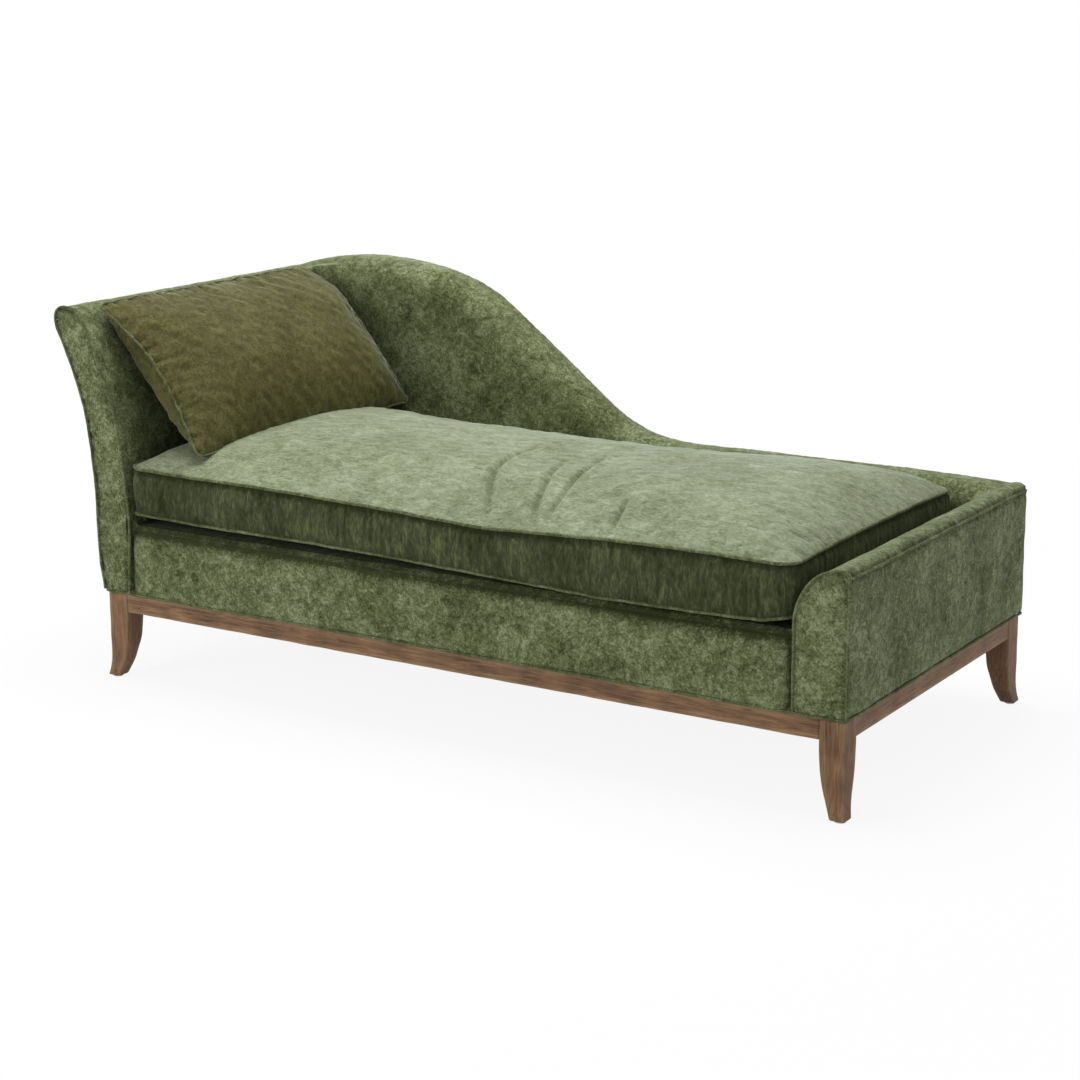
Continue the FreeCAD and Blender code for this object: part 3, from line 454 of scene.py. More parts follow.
def copyOfNodes(name, nodeNames):
    copies = []
    for nodeName in nodeNames:
        copied = frame["nodes"][nodeName].copy()
        copied.data = copied.data.copy()
        copied.parent = None
        for key in list(copied.keys()):
            del copied[key]
        scene.collection.objects.link(copied)
        copies.append(copied)
    deselectAll()
    for copied in copies:
        copied.select_set(True)
    bpy.context.view_layer.objects.active = copies[0]
    bpy.ops.object.join()
    joined = bpy.context.object
    joined.name = name
    joined.data.materials.clear()
    bpy.ops.object.mode_set(mode="EDIT")
    bpy.ops.mesh.select_all(action="SELECT")
    bpy.ops.mesh.remove_doubles(threshold=0.00002)
    bpy.ops.object.mode_set(mode="OBJECT")
    return joined


def keepLargestPart(piece):
    pickOnly(piece)
    bpy.ops.object.mode_set(mode="EDIT")
    bpy.ops.mesh.select_all(action="SELECT")
    bpy.ops.mesh.separate(type="LOOSE")
    bpy.ops.object.mode_set(mode="OBJECT")
    parts = sorted(bpy.context.selected_objects, key=lambda part: len(part.data.vertices))
    for part in parts[:-1]:
        bpy.data.objects.remove(part)
    return parts[-1]


def stuffedBody(values):
    # the covers and paddings as one skin over a filled middle, with soft edges
    skin = copyOfNodes("bodySkin", ["head_facing", "foot_facing", "head_outside_cover", "foot_outside_cover",
                                    "foot_inside_cover", "inside_back_cover", "rear_outside_cover",
                                    "front_border", "head_padding", "foot_padding", "rear_padding",
                                    "front_border_padding", "deck_cover", "deck_foam"])
    deselectAll()
    low, high = baseSize["bottom"], values["deckTop"] - 0.004
    bpy.ops.mesh.primitive_cube_add(size=1, location=(baseShift, 0, (low + high) / 2),
                                    scale=(*values["middle"], high - low))
    bpy.ops.object.transform_apply(location=False, rotation=False, scale=True)
    middle = bpy.context.object
    bpy.ops.object.transform_apply(location=True, rotation=False, scale=False)
    skin.select_set(True)
    middle.select_set(True)
    bpy.context.view_layer.objects.active = skin
    bpy.ops.object.join()
    skin.data.remesh_voxel_size = values["voxel"]
    bpy.ops.object.voxel_remesh()
    skin = keepLargestPart(skin)
    applyModifier(skin, "SMOOTH", factor=0.5, iterations=values["smoothing"])
    return skin


def nearSeams(points, lines):
    # distance to the nearest seam, and how far along its line the nearest place is
    tree = kdtree.KDTree(sum(len(line) for line in lines.values()))
    travels = []
    for line in lines.values():
        steps = np.concatenate([[0], np.cumsum(np.linalg.norm(np.diff(line, axis=0), axis=1))])
        for place, travel in zip(line, steps):
            tree.insert(place, len(travels))
            travels.append(travel + len(travels) * 1e-9)
    tree.balance()
    found = [tree.find(point) for point in points]
    distance = np.array([item[2] for item in found])
    travel = np.array([travels[item[1]] for item in found])
    nearest = np.array([item[0][:] for item in found])
    return distance, travel, nearest


def padSurface(piece, lines, values):
    # seams pull in, the cloth puckers beside them and swells between them
    points = readPoints(piece.data)
    normals = readNormals(piece.data)
    distance, travel, _ = nearSeams(points, lines)
    ripple = waves(np.stack([travel, distance * 0.25], axis=1), 0.017, 3, 6)
    broad = waves(points, 0.17, 5)
    dents = waves(points, 0.060, 8)
    push = -values["seamDip"] * np.exp(-(distance / values["seamReach"]) ** 2)
    push += (values["pucker"] * ripple * np.exp(-distance / values["puckerReach"])
             * np.minimum(distance / values["puckerStart"], 1))
    push += values["swell"] * (0.45 * broad + 0.28 * dents) * (1 - np.exp(-distance / values["swellReach"]))
    # the front border rolls back under the seat cushion, and dives in beside each facing
    top = np.hypot(points[:, 1] + baseSize["halfDepth"], points[:, 2] - values["deckTop"])
    x = points[:, 0] - baseShift
    between = (x > values["rollEnds"][0]) & (x < values["rollEnds"][1])
    push -= values["rollDip"] * np.exp(-(top / values["rollReach"]) ** 2) * between
    ends = np.minimum(x - values["grooveEnds"][0], values["grooveEnds"][1] - x)
    groove = np.exp(-(np.maximum(ends, 0) / values["grooveReach"]) ** 2) * (ends > 0)
    low = (points[:, 2] < values["deckTop"]) & (points[:, 1] < 0.02 - baseSize["halfDepth"])
    push -= values["grooveDip"] * groove * low
    writePoints(piece.data, points + normals * push[:, None])
    # how far each point is pushed in, returned as painted shade for the seams, the roll and the grooves
    return -push / values["grooveDip"]


def splitBody(skin, values):
    # name of the panel that each face belongs to
    centres = readTriples(skin.data.polygons, "center")
    normals = readTriples(skin.data.polygons, "normal")
    x, y, z = centres[:, 0] - baseShift, centres[:, 1], centres[:, 2]
    flat = np.stack([x, z], axis=1)
    headOutline = smoothLine(values["head"], 0.006)
    footOutline = np.array([(0.790, 0.19)] + values["foot"] + [(0.900, 0.19)])
    near, turn, side = values["near"], values["faceTurn"], baseSize["halfDepth"] - values["faceDepth"]
    front = (y < -side) & (normals[:, 1] < -turn)
    rear = (y > side) & (normals[:, 1] > turn)
    inHead = insideOutline(flat, headOutline)
    inFoot = insideOutline(flat, footOutline)
    crest = smoothLine(values["crest"], 0.006)
    belowCrest = z < np.interp(x, crest[:, 0], crest[:, 1]) - values["crestDrop"]
    panel = np.full(len(x), "insideBack", dtype="U16")
    panel[(x > 0.70) & (y < values["wallInner"] + near)] = "footInside"
    panel[insideOutline(flat, np.array(values["headBack"]))] = "headOutside"
    panel[(x > 0.885) & (z < 0.4652)] = "footOutside"
    seat = (z < values["deckTop"] + near) & (x > -0.84) & (x < 0.80)
    panel[seat & (normals[:, 2] > turn)] = "deckPart"
    panel[seat & (y < -values["borderRoll"] + near) & (normals[:, 1] < turn / 2)] = "frontBorder"
    panel[rear & belowCrest] = "rearOutside"
    panel[front & inHead] = "headFacing"
    panel[front & inFoot] = "footFacing"
    panel[(normals[:, 2] < -turn) & (z < baseSize["bottom"] + near)] = "underside"
    return panel


def panelPiece(skin, panelNames, name, lines, shadeDepths, material, snap):
    # the faces of one panel as an own mesh, its edge laid on the nearest seam line
    piece = keepLargestPart(cutOut(skin, np.nonzero(panelNames == name)[0], name, material, shadeDepths))
    piece.name = name
    piece.data.name = name
    edgeUse = {}
    for face in piece.data.polygons:
        for key in face.edge_keys:
            edgeUse[key] = edgeUse.get(key, 0) + 1
    rim = sorted({corner for key, uses in edgeUse.items() if uses == 1 for corner in key})
    points = readPoints(piece.data)
    distance, _, nearest = nearSeams(points[rim], lines)
    for index, gap, target in zip(rim, distance, nearest):
        if gap < snap:
            points[index] = target
    writePoints(piece.data, points)
    return piece


def finishCover(piece, bodyName, thickness, nodes):
    applyModifier(piece, "SOLIDIFY", thickness=thickness, offset=-1)
    smoothShade(piece)
    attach(piece, bodyName)
    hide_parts(*nodes)


seams = seamLines(body)
skin = stuffedBody(body)
print("body skin:", len(skin.data.vertices), "points")
bodyShadeDepths = padSurface(skin, seams, body)
panelNames = splitBody(skin, body)
coverNodes = {
    "headFacing": ["head_facing", "head_padding"], "footFacing": ["foot_facing"],
    "headOutside": ["head_outside_cover"], "footOutside": ["foot_outside_cover"],
    "footInside": ["foot_inside_cover", "foot_padding"], "insideBack": ["inside_back_cover", "rear_padding"],
    "rearOutside": ["rear_outside_cover"], "frontBorder": ["front_border", "front_border_padding"],
    "deckPart": ["deck_cover", "deck_foam"],
}
for panelName, nodeNames in coverNodes.items():
    # the deck takes the darker boxing velvet as painted shade
    cover = panelPiece(skin, panelNames, panelName, seams, bodyShadeDepths,
                       boxingAndShadeVelvet if panelName == "deckPart" else bodyVelvet, body["snap"])
    finishCover(cover, "body", body["cover"], nodeNames)
    print("cover", panelName, len(cover.data.polygons), "faces")
bpy.data.objects.remove(skin)


# Piping: a cord in a bias strip of the same velvet, a little uneven where the strip was stretched, drawn in a
# darker copy of it as painted shade
piping = {"body": 0.0060, "base": 0.0062, "cushion": 0.0066, "pillow": 0.005,
          "uneven": 0.05, "wander": 0.0004, "step": 0.004, "baseTurn": 0.006}


def makePiping(name, line, diameter, bodyName, node):
    # a line that ends where it starts becomes a closed ring
    closed = bool(np.allclose(line[0], line[-1]))
    points = evenly(line, spacing=piping["step"])
    if closed:
        points = points[:-1]
    wander = np.stack([waves(points, 0.05, seed, 5) for seed in (11, 12, 13)], axis=1)
    points = points + wander * piping["wander"]
    curve = bpy.data.curves.new(name, "CURVE")
    curve.dimensions = "3D"
    curve.bevel_depth = diameter / 2
    curve.bevel_resolution = 2
    curve.use_fill_caps = not closed
    spline = curve.splines.new("POLY")
    spline.points.add(len(points) - 1)
    uneven = 1 + piping["uneven"] * waves(points, 0.014, 17, 5)
    for target, point, radius in zip(spline.points, points, uneven):
        target.co = (*point, 1)
        target.radius = radius
    spline.use_cyclic_u = closed
    piece = bpy.data.objects.new(name, curve)
    scene.collection.objects.link(piece)
    pickOnly(piece)
    bpy.ops.object.convert(target="MESH")
    piece = bpy.context.object
    piece.name = name
    piece.data.name = name
    piece.data.materials.clear()
    piece.data.materials.append(shadedPipingVelvet)
    bpy.ops.object.shade_smooth()
    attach(piece, bodyName)
    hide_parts(node)


def baseLoop():
    x = baseSize["halfLength"] - 0.0016
    y = baseSize["halfDepth"] - 0.0016
    z = baseSize["bottom"] - piping["base"] / 2
    radius = piping["baseTurn"]
    loop = []
    for centreX, centreY, start in ((x, y, 0), (-x, y, 90), (-x, -y, 180), (x, -y, 270)):
        for angle in range(start, start + 91, 15):
            turn = math.radians(angle)
            loop.append((baseShift + centreX - math.copysign(radius, centreX) + radius * math.cos(turn),
                         centreY - math.copysign(radius, centreY) + radius * math.sin(turn), z))
    return np.array(loop + loop[:1])


for pipingName, seamName, nodeName in (("headFacingPiping", "head", "facing_welts"),
                                       ("footFacingPiping", "foot", "facing_welts"),
                                       ("rearTopPiping", "rearTop", "top_welts"),
                                       ("footTopPiping", "footTop", "top_welts")):
    makePiping(pipingName, seams[seamName], piping["body"], "body", nodeName)
makePiping("basePiping", baseLoop(), piping["base"], "body", "base_welt")
print("body piping laid")

# Seat cushion: a foam core in a soft wrap, boxed and piped. The seam heights along the front follow the
# sagging line that it takes. Its lumps give their height, size, seed and how far from the seam they start.
seatCushion = {
    "sides": (-0.819, 0.786, -0.436, 0.321), "radii": (0.036, 0.036, 0.040, 0.110),
    "drawnIn": (0.005, 0.003, 0.0, 0.003), "high": 0.475, "low": 0.381, "floor": 0.3526,
    "frontHigh": [(-0.82, 0.484), (-0.70, 0.479), (-0.50, 0.477), (-0.345, 0.474), (-0.092, 0.466),
                  (0.102, 0.458), (0.242, 0.465), (0.377, 0.472), (0.594, 0.477), (0.79, 0.476)],
    "frontLow": [(-0.82, 0.384), (-0.56, 0.381), (-0.35, 0.382), (-0.094, 0.377), (0.148, 0.368),
                 (0.377, 0.360), (0.595, 0.363), (0.721, 0.367), (0.79, 0.380)],
    "crown": 0.052, "crownReach": (0.034, 0.048, 0.075, 0.038), "bellyReach": 0.045, "settle": 1.04,
    "columns": 160, "rows": 76, "boxingRows": 10, "bulge": 0.0055, "zipReach": 0.64, "zipDip": 0.0034,
    "cover": 0.0016, "slack": -0.030, "slackReach": 0.05, "middleSlack": -0.004, "pressure": 3.0,
    "frames": 20, "cap": 0.024,
    "creases": [[(0.096, -0.40), (0.03, -0.28), (0.0, -0.211), (-0.011, -0.035)],
                [(0.215, -0.41), (0.185, -0.36), (0.162, -0.307), (0.097, -0.109)],
                [(0.229, -0.388), (0.212, -0.30), (0.195, -0.224), (0.155, -0.018)],
                [(0.387, -0.41), (0.375, -0.36), (0.358, -0.292)]],
    "creaseDepth": 0.0080, "creaseWidth": 0.0075,
    "pulledCorner": (0.76, -0.36, 0.14, 0.20), "seamDip": (0.0016, 0.007), "pucker": (0.0006, 0.0014),
    "puckerReach": (0.022, 0.030), "puckerStart": 0.006,
    "lumps": ((0.0010, 0.11, 23, 0.05), (0.0005, 0.035, 24, 0.02)),
    "boxingHeight": 0.095, "boxingPucker": 0.0009, "boxingWave": 0.0012, "underWelt": (0.0030, 0.004, 0.005),
}


def loopSides(values, inset, counts):
    # the four sides of a rounded outline, each from corner to corner, in even steps
    x0, x1, y0, y1 = values["sides"]
    square = [np.array(c) for c in ((x0 + inset, y0 + inset), (x1 - inset, y0 + inset),
                                    (x1 - inset, y1 - inset), (x0 + inset, y1 - inset))]
    ways = [np.array(w) for w in ((1.0, 0.0), (0.0, 1.0), (-1.0, 0.0), (0.0, -1.0))]
    sides = []
    for index in range(4):
        after = (index + 1) % 4
        way, inwards = ways[index], ways[after]
        radius, nextRadius = values["radii"][index], values["radii"][after]
        path = []
        for step in np.linspace(0.5, 1, 9):
            angle = step * math.pi / 2
            path.append(square[index] + way * (radius - radius * math.cos(angle))
                        + inwards * (radius - radius * math.sin(angle)))
        start = square[index] + way * radius
        end = square[after] - way * nextRadius
        for step in np.linspace(0.02, 0.98, 49):
            sag = values["drawnIn"][index] * 4 * step * (1 - step)
            path.append(start + (end - start) * step + inwards * sag)
        for step in np.linspace(0, 0.5, 9):
            angle = step * math.pi / 2
            path.append(square[after] - way * (nextRadius - nextRadius * math.sin(angle))
                        + inwards * (nextRadius - nextRadius * math.cos(angle)))
        sides.append(evenly(np.array(path), count=counts[index % 2]))
    return sides


def spannedGrid(sides):
    # points spread between four sides, as rows from the front side to the rear one
    front, right, rear, left = sides[0], sides[1], sides[2][::-1], sides[3][::-1]
    u = np.linspace(0, 1, len(front))[None, :, None]
    v = np.linspace(0, 1, len(right))[:, None, None]
    grid = (1 - v) * front[None] + v * rear[None] + (1 - u) * left[:, None] + u * right[:, None]
    return grid - ((1 - u) * (1 - v) * front[0] + u * (1 - v) * front[-1] + (1 - u) * v * rear[0]
                   + u * v * rear[-1])


def rimOrder(columns, rows):
    # grid places round the rim, the way that the sides run
    rim = [(0, u) for u in range(columns)] + [(v, columns) for v in range(rows)]
    rim += [(rows, u) for u in range(columns, 0, -1)] + [(v, 0) for v in range(rows, 0, -1)]
    return rim


def gridFaces(columns, rows, first, flipped):
    faces = []
    for v in range(rows):
        for u in range(columns):
            a = first + v * (columns + 1) + u
            face = (a, a + 1, a + columns + 2, a + columns + 1)
            faces.append(face[::-1] if flipped else face)
    return faces


def insideDistance(flat, values):
    x0, x1, y0, y1 = values["sides"]
    across = np.minimum(flat[..., 0] - x0, x1 - flat[..., 0])
    deep = np.minimum(flat[..., 1] - y0, y1 - flat[..., 1])
    return np.maximum(across, 0), np.maximum(deep, 0)


def seamHeight(flat, line, level, values):
    # the seam follows the measured line along the front and evens out towards the rear
    y0, y1 = values["sides"][2:]
    places = np.array(line)
    front = np.interp(flat[..., 0], places[:, 0], places[:, 1])
    part = np.clip((flat[..., 1] - y0) / (y1 - y0), 0, 1)
    fade = 1 - part * part * (3 - 2 * part)
    return level + (front - level) * fade


def buildCushionShell(values):
    columns, rows, boxingRows = values["columns"], values["rows"], values["boxingRows"]
    flat = spannedGrid(loopSides(values, 0.002, (columns, rows)))
    across, deep = insideDistance(flat, values)
    x0, x1, y0, y1 = values["sides"]
    gaps = (flat[..., 0] - x0, x1 - flat[..., 0], flat[..., 1] - y0, y1 - flat[..., 1])
    lift = np.prod([1 - np.exp(-np.maximum(gap, 0) / reach)
                    for gap, reach in zip(gaps, values["crownReach"])], axis=0)
    high = seamHeight(flat, values["frontHigh"], values["high"], values) + values["crown"] * lift
    low = seamHeight(flat, values["frontLow"], values["low"], values)
    settle = (1 - np.exp(-across / values["bellyReach"])) * (1 - np.exp(-deep / values["bellyReach"]))
    low = low + (values["floor"] - low) * np.clip(settle * values["settle"], 0, 1)
    top = np.dstack([flat, high])
    bottom = np.dstack([flat, low])
    rim = rimOrder(columns, rows)
    size = (columns + 1) * (rows + 1)
    points = [top.reshape(-1, 3)]
    rings = [[v * (columns + 1) + u for v, u in rim]]
    rimTop = np.array([top[place] for place in rim])
    rimBottom = np.array([bottom[place] for place in rim])
    outwards = np.roll(rimTop[:, :2], -1, axis=0) - np.roll(rimTop[:, :2], 1, axis=0)
    outwards = np.stack([outwards[:, 1], -outwards[:, 0]], axis=1)
    outwards /= np.linalg.norm(outwards, axis=1)[:, None]
    atRear = (rimTop[:, 1] > values["sides"][3] - 0.004) & (abs(rimTop[:, 0]) < values["zipReach"])
    for row in range(1, boxingRows):
        part = row / boxingRows
        bulge = values["bulge"] * math.sin(math.pi * part)
        ring = rimTop * (1 - part) + rimBottom * part
        push = np.where(atRear, -values["zipDip"] * math.sin(math.pi * part) ** 0.5, bulge)
        ring[:, :2] += outwards * push[:, None]
        rings.append(list(range(size + (row - 1) * len(rim), size + row * len(rim))))
        points.append(ring)
    first = size + (boxingRows - 1) * len(rim)
    points.append(bottom.reshape(-1, 3))
    rings.append([first + v * (columns + 1) + u for v, u in rim])
    topFaces = gridFaces(columns, rows, 0, False)
    bottomFaces = gridFaces(columns, rows, first, True)
    sideFaces = []
    for upper, lower in zip(rings, rings[1:]):
        for index in range(len(rim)):
            after = (index + 1) % len(rim)
            sideFaces.append((upper[index], lower[index], lower[after], upper[after]))
    allPoints = np.concatenate(points)
    allPoints[:, 0] += baseShift
    piece = newPiece("cushionShell", allPoints, topFaces + sideFaces + bottomFaces, litCushionVelvet)
    groups = {"top": range(0, len(topFaces)), "side": range(len(topFaces), len(topFaces) + len(sideFaces)),
              "bottom": range(len(topFaces) + len(sideFaces), len(piece.data.polygons))}
    held = set(rings[0]) | set(range(first, len(allPoints)))
    for ring in rings[1:-1]:
        held |= {corner for corner, rear in zip(ring, atRear) if rear}
    across, deep = insideDistance(allPoints[:, :2] - np.array([baseShift, 0]), values)
    slackness = np.exp(-np.minimum(across, deep) / values["slackReach"])
    return piece, groups, sorted(held), slackness, rings


# Light velvet for the cloth solver: it stretches little and bends easily
clothFeel = {"quality": 5, "mass": 0.3, "tension_stiffness": 15, "compression_stiffness": 15,
             "shear_stiffness": 6, "bending_stiffness": 0.3}


# Inflates a sewn shell as cloth, with its seams held, and keeps each point near where it began
def inflate(piece, values, held, slackness):
    before = readPoints(piece.data)
    pins = piece.vertex_groups.new(name="held")
    pins.add(held, 1.0, "REPLACE")
    loose = piece.vertex_groups.new(name="slack")
    for index, weight in enumerate(slackness):
        if weight > 0.01:
            loose.add([index], float(weight), "REPLACE")
    pickOnly(piece)
    modifier = piece.modifiers.new("stuffing", "CLOTH")
    cloth = modifier.settings
    for name, value in clothFeel.items():
        setattr(cloth, name, value)
    cloth.use_pressure = True
    cloth.uniform_pressure_force = values["pressure"]
    cloth.effector_weights.gravity = 0
    cloth.vertex_group_mass = "held"
    cloth.vertex_group_shrink = "slack"
    cloth.shrink_min = values["middleSlack"]
    cloth.shrink_max = values["slack"]
    modifier.collision_settings.use_collision = False
    modifier.point_cache.frame_end = values["frames"]
    for number in range(1, values["frames"] + 1):
        scene.frame_set(number)
    bpy.ops.object.modifier_apply(modifier=modifier.name)
    scene.frame_set(1)
    move = readPoints(piece.data) - before
    length = np.linalg.norm(move, axis=1)
    part = np.minimum(1, values["cap"] / np.maximum(length, 1e-9))
    writePoints(piece.data, before + move * part[:, None])
    piece.vertex_groups.clear()
    print("cloth", piece.name, "moved up to", round(float(length.max()) * 1000, 1), "mm")


def creaseDepth(flat, values):
    # valleys with a soft ridge beside them, along a few drawn lines
    total = np.zeros(len(flat))
    for line in values["creases"]:
        path = smoothLine(line, 0.006)
        gap = flat[:, None, :] - path[None, :, :]
        distance = np.linalg.norm(gap, axis=2)
        nearest = distance.argmin(axis=1)
        closest = distance.min(axis=1)
        part = nearest / (len(path) - 1)
        fade = np.sin(math.pi * np.clip(part * 0.9 + 0.08, 0, 1)) ** 0.7
        side = np.sign(gap[np.arange(len(flat)), nearest, 0])
        valley = np.exp(-(closest / values["creaseWidth"]) ** 2)
        ridge = np.exp(-((closest - 2.1 * values["creaseWidth"]) / (1.3 * values["creaseWidth"])) ** 2)
        total += fade * (ridge * np.where(side > 0, 0.55, 0.35) - valley)
    return total


def detailCushionTop(piece, values):
    points = readPoints(piece.data)
    normals = readNormals(piece.data)
    flat = points[:, :2] - np.array([baseShift, 0])
    across, deep = insideDistance(flat, values)
    edge = np.minimum(across, deep)
    along = np.where(across < deep, flat[:, 1], flat[:, 0])
    pucker = waves(np.stack([along, edge * 0.15], axis=1), 0.016, 21, 7)
    cornerX, cornerY, reachX, reachY = values["pulledCorner"]
    corner = np.exp(-(((flat[:, 0] - cornerX) / reachX) ** 2 + ((flat[:, 1] - cornerY) / reachY) ** 2))
    dip, dipReach = values["seamDip"]
    depth = values["pucker"][0] + values["pucker"][1] * corner
    reach = values["puckerReach"][0] + values["puckerReach"][1] * corner
    push = pucker * depth * np.exp(-edge / reach) * np.minimum(edge / values["puckerStart"], 1)
    push -= dip * np.exp(-(edge / dipReach) ** 2)
    creases = creaseDepth(flat, values) * np.minimum(edge / 0.02, 1)
    push += values["creaseDepth"] * creases
    for height, size, seed, start in values["lumps"]:
        push += height * waves(points, size, seed) * (1 - np.exp(-edge / start))
    writePoints(piece.data, points + normals * push[:, None])
    # painted shade in the creases and puckers and along the seam
    markPaintedShade(piece, -0.9 * creases - pucker * np.exp(-edge / 0.03) * (0.25 + 0.5 * corner)
              + 0.7 * np.exp(-(edge / 0.006) ** 2))


def detailBoxing(piece, values):
    points = readPoints(piece.data)
    normals = readNormals(piece.data)
    flat = points[:, :2] - np.array([baseShift, 0])
    high = seamHeight(flat, values["frontHigh"], values["high"], values)
    low = seamHeight(flat, values["frontLow"], values["low"], values)
    part = np.clip((points[:, 2] - low) / (high - low), 0, 1)
    line = np.stack([flat[:, 0] + flat[:, 1], points[:, 2] * 0.10], axis=1)
    pucker = waves(line, 0.015, 31, 8)
    patch = np.clip(0.55 + 0.75 * waves(line, 0.22, 32, 5), 0, 1.4)
    fade = np.minimum(np.minimum(part, 1 - part) / 0.08, 1)
    below, above = (1 - part) * values["boxingHeight"], part * values["boxingHeight"]
    dip, place, reach = values["underWelt"]
    push = values["boxingPucker"] * pucker * patch * fade * (0.45 + 0.55 * part)
    push -= dip * np.exp(-((below - place) / reach) ** 2)
    push += values["boxingWave"] * waves(points, 0.09, 33) * fade
    writePoints(piece.data, points + normals * push[:, None])
    # painted shade in the puckers, under the lower welt and below the upper piping
    markPaintedShade(piece, -0.45 * pucker * patch * fade + 1.3 * np.exp(-(below / 0.008) ** 2)
              + 0.4 * np.exp(-(above / 0.012) ** 2))


shell, faceGroups, heldPoints, slackness, cushionRings = buildCushionShell(seatCushion)
inflate(shell, seatCushion, heldPoints, slackness)
cushionTop = cutOut(shell, faceGroups["top"], "seatCushionTop", litCushionVelvet)
cushionSide = cutOut(shell, faceGroups["side"], "seatCushionSide", boxingAndShadeVelvet)
# the cushion's underside takes the darker boxing velvet as painted shade
cushionBottom = cutOut(shell, faceGroups["bottom"], "seatCushionBottom", boxingAndShadeVelvet)
shellPoints = readPoints(shell.data)
bpy.data.objects.remove(shell)
for cover in (cushionTop, cushionSide):
    applyModifier(cover, "SUBSURF", levels=1, render_levels=1)
detailCushionTop(cushionTop, seatCushion)
detailBoxing(cushionSide, seatCushion)
for cover, nodeNames in ((cushionTop, ["cushion_top_panel", "cushion_wrap"]),
                         (cushionSide, ["cushion_side_panel"]),
                         (cushionBottom, ["cushion_bottom_panel", "cushion_core"])):
    finishCover(cover, "seat_cushion", seatCushion["cover"], nodeNames)
for pipingName, ring in (("seatCushionUpperPiping", cushionRings[0]),
                         ("seatCushionLowerPiping", cushionRings[-1])):
    makePiping(pipingName, shellPoints[ring + ring[:1]], piping["cushion"], "seat_cushion", "cushion_welts")
print("seat cushion made")


# Lumbar pillow: two panels and piping, slackly filled, its corners left as soft ears
pillow = {
    "centre": (-0.757, -0.033, 0.682), "along": (56.0, 706.0, 11.5), "rise": (-266.0, 0.0, 301.0),
    "size": (0.716, 0.410), "thick": 0.128, "dome": (2.6, 0.62), "columns": 96, "rows": 56, "corner": 0.015,
    "drawnIn": (-0.002, 0.006, 0.007, 0.020), "rimWave": 0.0016, "cover": 0.0014,
    "slack": -0.055, "slackReach": 0.045, "middleSlack": -0.008, "pressure": 4.0, "frames": 24, "cap": 0.022,
    "bentEar": (0.038, 0.012), "liftedEar": (0.010, 0.008), "bow": 0.012, "leanBack": 0.008,
    "pucker": 0.0031, "puckerReach": 0.036, "puckerStart": 0.006,
    "lumps": ((0.0018, 0.12, 43, 0.05), (0.0005, 0.04, 44, 0.02)),
}


def buildPillowShell(values):
    columns, rows = values["columns"], values["rows"]
    width, height = values["size"]
    outline = {"sides": (-width / 2, width / 2, -height / 2, height / 2), "radii": (values["corner"],) * 4,
               "drawnIn": values["drawnIn"]}
    flat = spannedGrid(loopSides(outline, 0.001, (columns, rows)))
    across, deep = insideDistance(flat, outline)
    power, fullness = values["dome"]
    part = [np.clip(1 - gap / reach * 2, 0, 1) for gap, reach in ((across, width), (deep, height))]
    lift = ((1 - part[0] ** (power * 1.6)) * (1 - part[1] ** power)) ** fullness
    wave = values["rimWave"] * waves(flat.reshape(-1, 2), 0.034, 40, 6).reshape(lift.shape)
    front = np.dstack([flat, wave + values["thick"] / 2 * lift]).reshape(-1, 3)
    back = np.dstack([flat, wave - values["thick"] / 2 * lift]).reshape(-1, 3)
    rim = [v * (columns + 1) + u for v, u in rimOrder(columns, rows)]
    inner = sorted(set(range(len(front))) - set(rim))
    place = {index: index for index in rim}
    place.update({index: len(front) + number for number, index in enumerate(inner)})
    frontFaces = gridFaces(columns, rows, 0, False)
    backFaces = [tuple(place[corner] for corner in face[::-1]) for face in frontFaces]
    points = np.concatenate([front, back[inner]])
    piece = newPiece("pillowShell", points, frontFaces + backFaces, pillowVelvet)
    across, deep = insideDistance(points[:, :2], outline)
    slackness = np.exp(-np.minimum(across, deep) / values["slackReach"])
    groups = {"front": range(len(frontFaces)), "back": range(len(frontFaces), 2 * len(frontFaces))}
    return piece, groups, rim, slackness


def standPillow(shell, values):
    # two ears are bent and the middle bowed, then it is laid against the head end
    points = readPoints(shell.data)
    length, height = values["size"]
    a, r = points[:, 0] / (length / 2), points[:, 1] / (height / 2)
    topRear = np.clip((a - 0.72) / 0.28, 0, 1) * np.clip((r - 0.55) / 0.45, 0, 1)
    lowFront = np.clip((-a - 0.70) / 0.30, 0, 1) * np.clip((-r - 0.50) / 0.50, 0, 1)
    points[:, 2] -= values["bentEar"][0] * topRear
    points[:, 1] += values["bentEar"][1] * topRear
    points[:, 2] += values["liftedEar"][0] * lowFront
    points[:, 1] -= values["liftedEar"][1] * lowFront
    points[:, 2] += values["bow"] * (1 - r * r) * (1 - a * a) - values["leanBack"]
    along = Vector(values["along"]).normalized()
    front = along.cross(Vector(values["rise"])).normalized()
    rise = front.cross(along)
    turn = np.array([along, rise, front])
    writePoints(shell.data, points @ turn + np.array(values["centre"]) + np.array([baseShift, 0, 0]))


def detailPillow(piece, rimLine, values):
    points = readPoints(piece.data)
    normals = readNormals(piece.data)
    distance, travel, _ = nearSeams(points, {"rim": rimLine})
    pucker = waves(np.stack([travel, distance * 0.12], axis=1), 0.024, 41, 7)
    pucker *= np.exp(-distance / values["puckerReach"])
    push = values["pucker"] * pucker * np.minimum(distance / values["puckerStart"], 1)
    for height, size, seed, start in values["lumps"]:
        push += height * waves(points, size, seed) * (1 - np.exp(-distance / start))
    writePoints(piece.data, points + normals * push[:, None])
    # painted shade in the puckers and along the seam
    markPaintedShade(piece, -0.6 * pucker + 0.8 * np.exp(-(distance / 0.006) ** 2))


